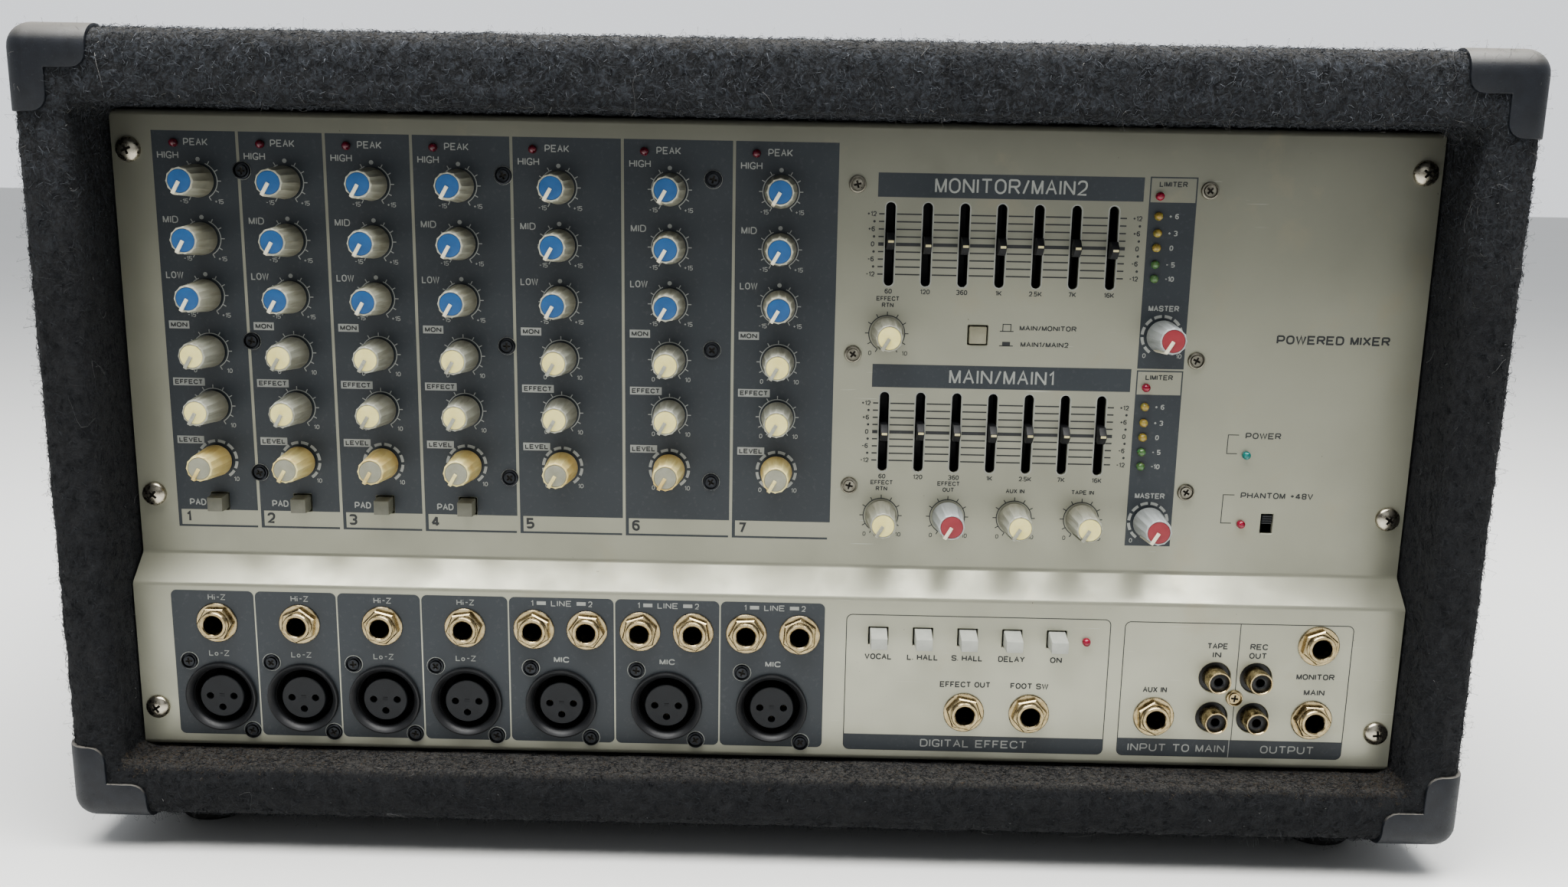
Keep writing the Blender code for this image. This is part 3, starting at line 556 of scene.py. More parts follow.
def make_lamp(name, colour, glow=0.0):
    """An LED's tinted lens, its colour cloudy."""
    made, tree, shader = new_material(
        name, 0.18, Subsurface_Weight=0.5, Subsurface_Scale=MM, Emission_Strength=glow, Coat_Weight=0.5
    )
    place = per_piece(tree, millimetres(tree))
    shade = remap(tree, grain(tree, place, 0.8, 2), 0.35, 0.65)
    painted(tree, shader, blend(tree, shade, tuple(0.6 * c for c in colour), colour))
    shader.inputs["Emission Color"].default_value = (*colour, 1)
    return made


def make_board_finish():
    """Solder mask over copper tracks."""
    made, tree, shader = new_material("green_solder_mask", 0.35)
    place = millimetres(tree)
    tracks = add_node(tree, "TexBrick", {"Vector": place, "Scale": 0.16, "Mortar Size": 0.05}).outputs["Fac"]
    colour = blend(tree, grain(tree, place, 0.1, 4), (0.012, 0.07, 0.025), (0.02, 0.1, 0.035))
    painted(tree, shader, blend(tree, product(tree, tracks, 0.5), colour, (0.05, 0.17, 0.06)))
    bumped(tree, shader, tracks, 0.2, 0.05)
    return made


def make_windings():
    """Polyester tape wound round a toroidal core, in slanting turns."""
    made, tree, shader = new_material("transformer_tape", 0.35)
    place = millimetres(tree)
    turns = add_node(tree, "TexWave", {"Vector": place, "Scale": 0.25, "Distortion": 2.0}).outputs["Fac"]
    painted(tree, shader, blend(tree, turns, (0.28, 0.22, 0.05), (0.42, 0.35, 0.1)))
    bumped(tree, shader, turns, 0.4, 0.3)
    return made


def make_plywood():
    made, tree, shader = new_material("plywood", 0.7)
    inputs = {"Vector": millimetres(tree), "Scale": 0.3, "Distortion": 1.5}
    ply = add_node(tree, "TexWave", inputs, bands_direction="X").outputs["Fac"]
    painted(tree, shader, blend(tree, ply, (0.36, 0.23, 0.11), (0.52, 0.37, 0.2)))
    bumped(tree, shader, ply, 0.3, 0.3)
    return made


def make_finishes():
    worn = {"bump": 0.25, "wear": 0.2, "dust": 0.8}
    powder_coat = ((0.012, 0.012, 0.013), (0.022, 0.022, 0.023))
    return {
        "carpet": make_carpet(),
        "fuzz": make_fibre("carpet_fibre", (0.0055, 0.007, 0.0105), (0.2, 0.215, 0.24)),
        "fluff": make_fibre("carpet_fluff", (0.025, 0.026, 0.03), (0.4, 0.39, 0.36)),
        "lint": make_fibre("lint", (0.2, 0.2, 0.2), (0.55, 0.54, 0.5)),
        "dust": make_fibre("dust", (0.08, 0.06, 0.04), (0.3, 0.25, 0.19)),
        "guard": make_plastic("guard_plastic", (0.007, 0.0085, 0.012), (0.012, 0.0145, 0.02), 0.48, **worn),
        "paint": make_panel_paint(),
        "slate_ink": make_ink("slate_print", (0.026, 0.032, 0.038), (0.036, 0.043, 0.05), 0.45),
        "dark_ink": make_ink("dark_print", (0.02, 0.022, 0.024), (0.03, 0.032, 0.034)),
        "light_ink": make_ink("light_print", (0.26, 0.27, 0.25), (0.34, 0.35, 0.325)),
        "clear_body": make_knob_body("knob_grey_body", (0.36, 0.365, 0.315), (0.21, 0.2, 0.145), 0.5, 0.5),
        "clean_body": make_knob_body("knob_clean_body", (0.4, 0.425, 0.425), (0.27, 0.28, 0.265), 0.3, 0.5),
        "tone_body": make_knob_body("knob_tone_body", (0.42, 0.42, 0.35), (0.25, 0.235, 0.165), 0.5, 0.5),
        "cream_body": make_knob_body("knob_cream_body", (0.72, 0.64, 0.33), (0.5, 0.34, 0.11), 0.75, 0.35),
        "blue_cap": make_plastic("cap_blue", (0.022, 0.085, 0.215), (0.03, 0.105, 0.26), 0.36),
        "cream_cap": make_plastic("cap_cream", (0.72, 0.64, 0.27), (0.8, 0.73, 0.35), 0.38),
        "red_cap": make_plastic("cap_red", (0.24, 0.03, 0.038), (0.29, 0.042, 0.05), 0.38),
        "grey_cap": make_plastic("cap_grey", (0.24, 0.24, 0.185), (0.3, 0.3, 0.24), 0.4),
        "white": make_plastic("pointer_cream", (0.66, 0.62, 0.48), (0.74, 0.7, 0.56), 0.4),
        "black": make_plastic("black_plastic", (0.012, 0.013, 0.015), (0.02, 0.021, 0.024), 0.4, 0.15),
        "fader": make_plastic("fader_black", (0.006, 0.0065, 0.008), (0.011, 0.012, 0.015), 0.48, 0.1),
        "xlr": make_plastic("xlr_body", (0.009, 0.0095, 0.011), (0.014, 0.015, 0.017), 0.46, 0.15, 0.1),
        "xlr_insert": make_plastic("xlr_insert", (0.0075, 0.0088, 0.011), (0.011, 0.0128, 0.016), 0.55, 0.15),
        "rubber": make_plastic("foot_rubber", (0.01, 0.01, 0.01), (0.02, 0.02, 0.02), 0.75, 0.3),
        "beige": make_plastic("button_beige", (0.21, 0.2, 0.145), (0.27, 0.26, 0.19), 0.38),
        "pad": make_plastic("button_grey", (0.125, 0.125, 0.098), (0.16, 0.16, 0.128), 0.42),
        "key": make_plastic("key_light_grey", (0.36, 0.37, 0.335), (0.42, 0.43, 0.39), 0.4),
        "nickel": make_metal("nickel", (0.34, 0.31, 0.25), (0.52, 0.49, 0.41), 0.24),
        "dull_nickel": make_metal("dull_nickel", (0.17, 0.16, 0.13), (0.3, 0.285, 0.24), 0.3),
        "grime": make_plastic("grime", (0.015, 0.013, 0.01), (0.03, 0.026, 0.02), 0.8),
        "brass": make_metal("champagne_plate", (0.29, 0.23, 0.13), (0.46, 0.385, 0.245), 0.22),
        "black_screw": make_metal("black_screw", (0.03, 0.032, 0.035), (0.06, 0.063, 0.07), 0.4),
        "steel": make_metal("zinc_steel", (0.45, 0.46, 0.46), (0.6, 0.61, 0.6), 0.34),
        "aluminium": make_metal("heatsink_aluminium", (0.5, 0.5, 0.5), (0.62, 0.62, 0.62), 0.38),
        "rear_paint": make_plastic("black_powder_coat", *powder_coat, 0.5, 0.6, 0.1),
        "mark": make_plastic("fader_line", (0.5, 0.45, 0.24), (0.62, 0.57, 0.33), 0.45),
        "bore": make_plastic("socket_bore", (0.002, 0.002, 0.0025), (0.004, 0.004, 0.005), 0.8),
        "red_lamp": make_lamp("lamp_red", (0.33, 0.015, 0.045)),
        "dim_red_lamp": make_lamp("lamp_dim_red", (0.14, 0.015, 0.03)),
        "amber_lamp": make_lamp("lamp_amber", (0.36, 0.28, 0.07)),
        "green_lamp": make_lamp("lamp_green", (0.1, 0.2, 0.07)),
        "teal_lamp": make_lamp("lamp_teal", (0.03, 0.24, 0.22)),
        "mask": make_board_finish(),
        "tape": make_windings(),
        "plywood": make_plywood(),
    }


# ---- cabinet ----

EDGE = 7.5
GUARD_PROUD = 0.8
GUARD_SKIN = 2
GUARD_ARM, GUARD_WIDTH = 27, 13.5
FOOT_HEIGHT = 12
FOOT_PLACE = (206, 96.5)
CARPET_VOXEL, QUICK_VOXEL = 2.9, 4
BODY_LOW = CABINET_LOW + Vector((0.5, 0.5, FOOT_HEIGHT))
BODY_HIGH = CABINET_HIGH - Vector((0.5, 0.5, 0.5))
OPENING_LOW = Vector((PANEL_LOW.x, 0, PANEL_LOW.z)) - Vector((1, 0, 1))
OPENING_HIGH = Vector((PANEL_HIGH.x, 0, PANEL_HIGH.z)) + Vector((1, 0, 1))


def add_rounded_body(bm, grow, segments=6):
    by = Vector((grow, grow, grow))
    add_box(bm, BODY_LOW - by, BODY_HIGH + by, EDGE + grow, segments)


def make_cabinet():
    """The carpet, a felted skin round the plywood sleeve. The mesh returned is what its fibres grow on."""
    body = mesh_from("cabinet", [lambda bm: add_rounded_body(bm, -0.3)])
    low = (OPENING_LOW.x, BODY_LOW.y - 9, OPENING_LOW.z)
    high = (OPENING_HIGH.x, BODY_HIGH.y + 9, OPENING_HIGH.z)
    sleeve = loose("sleeve", cut(body, lambda bm: add_box(bm, low, high), "cabinet_sleeve"))
    voxel = CARPET_VOXEL
    modified(sleeve, "REMESH", mode="VOXEL", voxel_size=voxel * MM, use_smooth_shade=True)
    for name, size, strength in (("felt_lumps", 11, 0.7), ("felt_tufts", 4, 0.9)):
        texture = bpy.data.textures.new(name, "CLOUDS")
        texture.noise_scale = size * MM
        texture.noise_depth = 2
        settings = {"strength": strength * MM, "mid_level": 0.5, "texture_coords": "LOCAL"}
        modified(sleeve, "DISPLACE", texture=texture, **settings)
    mesh = baked(sleeve, "carpet_cover", 180)
    add_piece("carpet_cover", mesh, "carpet", "carpeted_plywood", stands_for=("cabinet",))
    return mesh


def surface_samples(mesh, count, keep, chance):
    """Random points on the mesh's faces, with their normals, where keep(points, normals) is true."""
    mesh.calc_loop_triangles()
    points = np.empty(len(mesh.vertices) * 3, np.float32)
    mesh.vertices.foreach_get("co", points)
    points = points.reshape(-1, 3).astype(float)
    faces = np.empty(len(mesh.loop_triangles) * 3, np.int32)
    mesh.loop_triangles.foreach_get("vertices", faces)
    corners = points[faces.reshape(-1, 3)]
    normals = np.cross(corners[:, 1] - corners[:, 0], corners[:, 2] - corners[:, 0])
    areas = np.linalg.norm(normals, axis=1)
    normals /= areas[:, None] + 1e-20
    areas *= keep(corners.mean(axis=1) / MM, normals)
    picked = chance.choice(len(areas), count, p=areas / areas.sum())
    u, v = chance.random((2, count))
    flip = u + v > 1
    u[flip], v[flip] = 1 - u[flip], 1 - v[flip]
    origin = corners[picked, 0]
    spots = origin + u[:, None] * (corners[picked, 1] - origin) + v[:, None] * (corners[picked, 2] - origin)
    return spots, normals[picked]


def fibre_mesh(name, spots, normals, chance, length, rise, curl, width, rings=3):
    """Curled threads with three sides each. Each starts at a spot and bows up by its rise."""
    length, rise, curl, width = (size * MM for size in (length, rise, curl, width))
    count = len(spots)
    tangent = np.cross(normals, chance.normal(size=(count, 3)))
    tangent /= np.linalg.norm(tangent, axis=1)[:, None]
    side = np.cross(normals, tangent)
    reach = length * (0.4 + 1.2 * chance.random(count) ** 2)
    lift = rise * chance.random(count) ** 2
    bend = curl * chance.normal(size=count)
    wave = 2 * math.pi * chance.random(count)
    verts = np.empty((count, rings, 3, 3))
    for k in range(rings):
        t = k / (rings - 1)
        sway = bend * (np.sin(4 * t + wave) - np.sin(wave))
        height = 0.1 * MM + lift * math.sin(0.75 * math.pi * t)
        middle = spots + ((t - 0.5) * reach)[:, None] * tangent
        middle = middle + sway[:, None] * side + height[:, None] * normals
        thick = width * (1 - 0.6 * t)
        for j in range(3):
            angle = 2 * math.pi * j / 3
            verts[:, k, j] = middle + thick * (math.cos(angle) * side + math.sin(angle) * normals)
    index = np.arange(count * rings * 3).reshape(count, rings, 3)
    quads = []
    for k in range(rings - 1):
        for j in range(3):
            i = (j + 1) % 3
            corners = ((k, j), (k, i), (k + 1, i), (k + 1, j))
            quads.append(np.stack([index[:, ring, corner] for ring, corner in corners], 1))
    quads = np.concatenate(quads)
    ends = np.concatenate([index[:, 0, ::-1], index[:, -1]])
    mesh = bpy.data.meshes.new(name)
    mesh.vertices.add(count * rings * 3)
    mesh.vertices.foreach_set("co", verts.ravel())
    mesh.loops.add(quads.size + ends.size)
    mesh.loops.foreach_set("vertex_index", np.concatenate([quads.ravel(), ends.ravel()]))
    starts = np.concatenate([np.arange(len(quads)) * 4, quads.size + np.arange(len(ends)) * 3])
    mesh.polygons.add(len(starts))
    mesh.polygons.foreach_set("loop_start", starts)
    mesh.update(calc_edges=True)
    mesh.validate()
    return mesh


def make_fuzz(carpet):
    """The carpet's loose fibres, the lint caught in it, and the dust along the foot of the recess."""

    def outside(points):
        open_part = (points[:, 1] < UPPER_FACE) | (points[:, 1] > REAR_FACE)
        inner = (abs(points[:, 0]) < PANEL_HIGH.x + 1) & (points[:, 2] > PANEL_LOW.z - 1)
        inner &= points[:, 2] < PANEL_HIGH.z + 1
        return (~inner | open_part).astype(float)

    def face(points, normals):
        return outside(points) * (points[:, 1] < UPPER_FACE)

    def wrap(points, normals):
        return outside(points) * (points[:, 1] >= UPPER_FACE) * (normals[:, 2] > -0.5)

    def edge(points, normals):
        slant = np.abs(normals).max(axis=1) < 0.97
        return face(points, normals) * slant + 0.15 * wrap(points, normals)

    def ledge(points, normals):
        near = (points[:, 1] < LOWER_FACE + 2) & (points[:, 2] < PANEL_LOW.z + 6)
        near &= (points[:, 2] > PANEL_LOW.z - 4) & (normals[:, 2] > 0.3)
        return near.astype(float) * (0.25 + (abs(points[:, 0]) / PANEL_HIGH.x) ** 6)

    thin = 1
    chance = np.random.default_rng(7)
    kinds = [(f"felt_face_{i + 1}", face, 14000, 1.8, 1.1, 0.6, 0.1, "fuzz") for i in range(4)]
    kinds += [(f"felt_wrap_{i + 1}", wrap, 14000, 2.6, 1.2, 0.8, 0.12, "fuzz") for i in range(3)]
    kinds += [
        ("fluff_standing", edge, 14000, 2.0, 4.5, 0.9, 0.045, "fluff"),
        ("lint_threads", face, 70, 7.0, 2.0, 3.0, 0.05, "lint"),
        ("lint_threads_wrap", wrap, 150, 7.0, 2.0, 3.0, 0.05, "lint"),
        ("lint_specks", face, 260, 0.6, 0.6, 0.2, 0.12, "lint"),
        ("ledge_dust", ledge, 4200, 0.8, 0.6, 0.3, 0.09, "dust"),
    ]
    for name, keep, count, length, rise, curl, width, finish in kinds:
        spots, normals = surface_samples(carpet, count // thin, keep, chance)
        rings = 6 if name.startswith("lint_threads") else 3
        mesh = fibre_mesh(name, spots, normals, chance, length, rise, curl, width, rings)
        add_piece(name, mesh, finish, "carpeted_plywood")


def make_guards():
    """Eight moulded corners, each with an arm along the three edges that meet there."""
    far = 6
    shell = mesh_from("guard_shell", [lambda bm: add_rounded_body(bm, GUARD_PROUD, 8)])
    shell = cut(shell, lambda bm: add_rounded_body(bm, GUARD_PROUD - GUARD_SKIN, 6), "guard_shell")
    middle = (BODY_LOW + BODY_HIGH) / 2
    reach = (BODY_HIGH - BODY_LOW) / 2
    corners = [(x, y, z) for x in (-1, 1) for y in (-1, 1) for z in (-1, 1)]
    for number, corner in enumerate(corners, 1):

        def add_arms(bm, corner=corner):
            for along in range(3):
                inner = [reach[k] - (GUARD_ARM if k == along else GUARD_WIDTH) for k in range(3)]
                ends = [sorted((corner[k] * inner[k], corner[k] * (reach[k] + far))) for k in range(3)]
                low, high = zip(*ends)
                add_box(bm, middle + Vector(low), middle + Vector(high), 5, 4)

        guard = cut(shell.copy(), add_arms, f"corner_guard_{number}", "INTERSECT", use_self=True)
        soft = loose("guard", guard)
        settings = {"segments": 2, "limit_method": "ANGLE", "angle_limit": math.radians(50)}
        modified(soft, "BEVEL", width=0.35 * MM, **settings)
        guard = baked(soft, f"corner_guard_{number}", 40)
        add_piece(f"corner_guard_{number}", guard, "guard", "carpeted_plywood")


def make_feet():
    def add_foot(bm):
        top = FOOT_HEIGHT + 0.5
        outside = [(0, top), (14, top), (14.8, top - 1), (12.9, 1.2), (12.2, 0.3), (11.2, 0)]
        add_turned(bm, [*outside, (5, 0), (4.6, 0.5), (4.6, 6), (0, 6)], 40)

    def add_screw(bm):
        add_turned(bm, [(0, 3.6), (2.4, 4), (3.4, 5), (3.6, 6.2), (0, 6.2)], 24)

    mesh = mesh_from("foot", [add_foot, add_screw])
    x, y = FOOT_PLACE
    for end, sy in (("front", -1), ("rear", 1)):
        for side, sx in (("left", -1), ("right", 1)):
            name = f"rubber_foot_{end}_{side}"
            add_piece(name, mesh, "rubber nickel", "black_plastic", at=moved(sx * x, sy * y, 0))


def make_battens():
    """Wood strips on the side walls, which the panels are screwed to."""
    behind = SHEET + 0.4
    depth, width = 13, 14
    spans = (
        (UPPER_FACE + behind, UPPER_BEND + 2, PANEL_HIGH.z - 3),
        (LOWER_FACE + behind, PANEL_LOW.z + 3, LOWER_BEND - 2),
        (REAR_FACE - behind - depth, PANEL_LOW.z + 3, PANEL_HIGH.z - 3),
    )

    def add_strips(bm):
        for side in (-1, 1):
            ends = sorted((side * (PANEL_HIGH.x - 1), side * (PANEL_HIGH.x - width)))
            for front, bottom, top in spans:
                add_box(bm, (ends[0], front, bottom), (ends[1], front + depth, top), 0.6)

    add_piece("panel_battens", mesh_from("panel_battens", [add_strips]), "plywood", "carpeted_plywood")


# ---- front panel ----

CHAMFER = 0.2


def add_hole(bm, outline_of, face, inward=1):
    """A cutter through a panel face. outline_of(extra) gives the outline grown by that much."""
    wide, true = outline_of(CHAMFER), outline_of(0)
    depths = ((wide, -3), (wide, 0), (true, CHAMFER), (true, 4))
    add_loft(bm, [at_depth(outline, face + inward * depth) for outline, depth in depths])


def add_window(bm, x, z, width, height, face, radius=0.3, inward=1):
    def outline(extra):
        return rounded_rect(x, z, width + 2 * extra, height + 2 * extra, radius + extra)

    add_hole(bm, outline, face, inward)


def add_round_hole(bm, x, z, radius, face, sides=32, inward=1):
    add_hole(bm, lambda extra: circle(x, z, radius + extra, sides), face, inward)


def all_knobs():
    """Every knob on the upper face: its piece name, kind, place and body."""
    for n in CHANNELS:
        for row, z in TONE_ROWS.items():
            kind = "return" if row == "mon" else "tone"
            yield f"ch{n}_{row}_knob", kind, COLUMN[n], z, "console"
        yield f"ch{n}_effect_knob", "return", COLUMN[n], EFFECT_ROW, f"ch{n}_effect_knob"
        yield f"ch{n}_level_knob", "level", COLUMN[n], LEVEL_ROW, f"ch{n}_level_knob"
    for name in MASTERS:
        kind = "master" if "master" in name or name == "effect_out_knob" else "return"
        yield name, kind, *place_of(name), name


def add_upper_holes(bm):
    for _, _, x, z, _ in all_knobs():
        add_round_hole(bm, x, z, KNOB_HOLE, UPPER_FACE, 20)
    for row in EQ_ROWS.values():
        for x in BAND_COLUMN.values():
            add_window(bm, x, row, SLOT_WIDTH, SLOT_LENGTH, UPPER_FACE, SLOT_WIDTH / 2 - 0.01)
    for n in MIC_CHANNELS:
        add_window(bm, COLUMN[n], PAD_ROW, 6.3, 6.3, UPPER_FACE)
    add_window(bm, *place_of("main_monitor_button"), 6.8, 6.8, UPPER_FACE)
    x, z = place_of("phantom_switch")
    add_window(bm, x, z - 1.5, 4.2, 7, UPPER_FACE, 0.2)


def jack_places():
    for n in MIC_CHANNELS:
        yield f"ch{n}_instrument_jack", COLUMN[n], JACK_ROW
    for n in STEREO_CHANNELS:
        for side, name in ((-1, "left"), (1, "right")):
            yield f"ch{n}_{name}_jack", COLUMN[n] + side * STEREO_JACK_OFFSET, JACK_ROW
    for name, (x, z) in OUTPUT_JACKS.items():
        yield name, x, z


def add_lower_holes(bm):
    for n in KEYS:
        x, z = place_of(f"effect_key_{n}")
        add_window(bm, x, z, 6.9, 6.5, LOWER_FACE, 0.2)
    for n in CHANNELS:
        add_round_hole(bm, COLUMN[n], XLR_ROW, XLR_HOLE, LOWER_FACE, 48)
    for x, z in [*(place for _, *place in jack_places()), *PHONO_SOCKETS.values()]:
        add_round_hole(bm, x, z, JACK_HOLE, LOWER_FACE)


def add_panel_holes(bm):
    add_upper_holes(bm)
    add_lower_holes(bm)


def make_front_panel():
    outline = [
        (UPPER_FACE + FLANGE, PANEL_HIGH.z),
        (UPPER_FACE, PANEL_HIGH.z),
        (UPPER_FACE, UPPER_BEND),
        (LOWER_FACE, LOWER_BEND),
        (LOWER_FACE, PANEL_LOW.z),
        (LOWER_FACE + FLANGE, PANEL_LOW.z),
    ]
    path = rounded_path(outline, 2.2, 8)

    def add_sheet(bm):
        ends = (PANEL_LOW.x, PANEL_HIGH.x)
        columns = [[bm.verts.new(Vector((x, y, z)) * MM) for y, z in path] for x in ends]
        for i in range(len(path) - 1):
            bm.faces.new((columns[0][i], columns[0][i + 1], columns[1][i + 1], columns[1][i]))

    sheet = loose("sheet", mesh_from("sheet", [add_sheet], 30))
    inward = sheet.data.polygons[0].normal.z < 0
    modified(sheet, "SOLIDIFY", thickness=SHEET * MM, offset=1 if inward else -1, use_even_offset=True)
    solid = baked(sheet, "front_panel_sheet", 30)
    mesh = cut(solid, add_panel_holes, "front_panel_sheet", angle=30, weighted=True)
    add_piece("front_panel_sheet", mesh, "paint", "panel_paint", stands_for=("front_panel",))


# ---- printing: thin layers of ink on the panel ----

LAYER = 0.03

# Each letter is strokes on a grid 8 high: x and y, with r at a round corner.
LETTERS = {
    "A": "00 38 60|13 53",
    "C": "66 68r 08r 00r 60r 62",
    "D": "00 08|08 68r 60r 00",
    "E": "60 00 08 68|04 54",
    "F": "00 08 58|04 44",
    "G": "66 68r 08r 00r 60r 63 33",
    "H": "00 08|60 68|04 64",
    "I": "00 08",
    "K": "00 08|68 02|24 60",
    "L": "08 00 50",
    "M": "00 08|08 30|30 68|68 60",
    "N": "00 08|08 60|60 68",
    "O": "30 00r 08r 68r 60r 30",
    "P": "00 08|08 68r 63r 03",
    "R": "00 08|08 68r 64r 04|34 60",
    "S": "02 00r 60r 64r 04r 08r 68r 66",
    "T": "08 68|38 30",
    "U": "08 00r 60r 68",
    "V": "08 30 68",
    "W": "08 20 48 60 88",
    "X": "00 68|08 60",
    "Y": "08 34 68|34 30",
    "Z": "08 68 00 60",
    "i": "00 05|07 08",
    "o": "20 00r 05r 45r 40r 20",
    "0": "20 00r 08r 58r 50r 20",
    "1": "06 28 20",
    "2": "06 08r 58r 54r 00 50",
    "3": "07 08r 58r 54r 24|24 54r 50r 00r 01",
    "4": "40 48|48 02|02 62",
    "5": "58 08 04 55r 50r 00r 01",
    "6": "57 58r 08r 00r 30|30 50r 55r 05",
    "7": "08 58 20",
    "8": "24 04r 08r 58r 54r 24|24 04r 00r 50r 54r 24",
    ".": "00 01",
    "+": "14 54|32 36",
    "-": "14 44",
    "/": "00 38",
    " ": "",
}
LETTER_GAP = 2.6
SPACE = 2
STROKE_LIFT = 0.12
SMALL, MEDIUM, CHANNEL_TYPE = 1.7, 2.2, 2.4


def strokes_of(letter):
    """A letter's strokes, each a list of grid points with whether its corner is round."""
    strokes = [stroke.split() for stroke in LETTERS[letter].split("|") if stroke]
    return [[(int(p[0]), int(p[1]), p.endswith("r")) for p in stroke] for stroke in strokes]


def width_of(letter):
    return max((x for stroke in strokes_of(letter) for x, _, _ in stroke), default=SPACE)


def add_band(bm, path, width, front, back):
    """A flat band along a 2D path, between two depths."""
    sections = []
    for i, point in enumerate(path):
        here = Vector(point)
        before = (here - Vector(path[i - 1])).normalized() if i else None
        after = (Vector(path[i + 1]) - here).normalized() if i < len(path) - 1 else None
        along = ((before or after) + (after or before)).normalized()
        across = Vector((-along.y, along.x))
        first = before or after
        lean = max(0.6, abs(across.dot(Vector((-first.y, first.x)))))
        left, right = here + across * width / 2 / lean, here - across * width / 2 / lean
        corners = ((left, front), (right, front), (right, back), (left, back))
        sections.append([(p.x, y, p.y) for p, y in corners])
    add_loft(bm, sections)


class Print:
    """The ink on one panel face: a mesh for each colour, laid in layers so that no two share a surface."""

    def __init__(self):
        self.inks = {"slate": bmesh.new(), "dark": bmesh.new(), "light": bmesh.new()}
        self.face = UPPER_FACE

    def shape(self, ink, outline, layer):
        depths = (self.face - layer * LAYER, self.face + (0.2 - layer) * LAYER * 0.3)
        add_loft(self.inks[ink], [at_depth(outline, depth) for depth in depths])

    def box(self, ink, x0, z0, x1, z1, layer, radius=0.0):
        self.shape(ink, rounded_rect((x0 + x1) / 2, (z0 + z1) / 2, abs(x1 - x0), abs(z1 - z0), radius), layer)

    def line(self, ink, points, width, layer):
        add_band(self.inks[ink], points, width, self.face - layer * LAYER, self.face + 0.1 * LAYER)

    def arc(self, ink, x, z, radius, width, start, end, layer):
        """Part of a ring, between two clock angles in degrees."""
        steps = max(3, round(abs(end - start) / 8))
        angles = [math.radians(90 - (start + (end - start) * i / steps)) for i in range(steps + 1)]
        self.line(ink, [(x + radius * math.cos(a), z + radius * math.sin(a)) for a in angles], width, layer)

    def dot(self, ink, x, z, radius, layer):
        self.shape(ink, circle(x, z, radius, 16), layer)

    def tick(self, ink, x, z, inner, outer, width, clock, layer):
        angle = math.radians(90 - clock)
        ends = [(x + r * math.cos(angle), z + r * math.sin(angle)) for r in (inner, outer)]
        self.line(ink, ends, width, layer + 0.15)

    def words(self, ink, text, x, z, height, layer, width=None, weight=0.15):
        """Words centred on (x, z). With a width they are stretched or squeezed to fill it."""
        stroke_width = weight * height
        step = (height - stroke_width) / 8
        reach = sum(width_of(letter) + LETTER_GAP for letter in text) - LETTER_GAP
        across = (width - stroke_width) / reach if width else step
        left, foot = x - reach * across / 2, z - height / 2 + stroke_width / 2
        steps = 4 if height > 2.5 else 2
        for letter in text:
            for number, stroke in enumerate(strokes_of(letter), 1):
                points = [(left + px * across, foot + pz * step) for px, pz, _ in stroke]
                radii = [3 * step if is_round else 0 for _, _, is_round in stroke]
                path = rounded_path(points, radii, steps)
                self.line(ink, path, stroke_width, layer + number * STROKE_LIFT)
            left += (width_of(letter) + LETTER_GAP) * across


SCALE_RING, SCALE_LINE, DASH_RING, DOT_RING = 6.15, 0.32, 6.75, 7.1
SCALE_END, SCALE_STEP = 150, 30


def print_scale(printing, x, z, kind, ink="light", layer=2.4):
    """The ring of marks round a knob, with the numbers at its two ends."""
    if kind == "dashes":
        for i in range(10):
            start = -SCALE_END + SCALE_STEP * i + 4
            printing.arc(ink, x, z, DASH_RING, 1, start, start + 22, layer)
    else:
        spans = ((-SCALE_END, -22), (22, SCALE_END)) if kind == "centred" else ((-SCALE_END, SCALE_END),)
        for start, end in spans:
            printing.arc(ink, x, z, SCALE_RING, SCALE_LINE, start, end, layer)
        for i in range(11):
            clock = -SCALE_END + SCALE_STEP * i
            if kind == "centred" and clock == 0:
                printing.dot(ink, x, z + DOT_RING, 0.75, layer)
            else:
                printing.tick(ink, x, z, SCALE_RING, SCALE_RING + 1.3, SCALE_LINE, clock, layer)
    left, right = ("-15", "+15") if kind == "centred" else ("0", "10")
    printing.words(ink, left, x - 5.6, z - 6.8, 1.6, layer)
    printing.words(ink, right, x + 6.3, z - 6.8, 1.6, layer)


BLOCK_TOP = 248.6
BLOCK_BOTTOM = 118.1
NUMBER_BOTTOM = 112.2
DIVIDERS = (-208.9, -180.1, -151.0, -121.8, -88.2, -50.9, -13.4, 21.6)
DIVIDER = 1


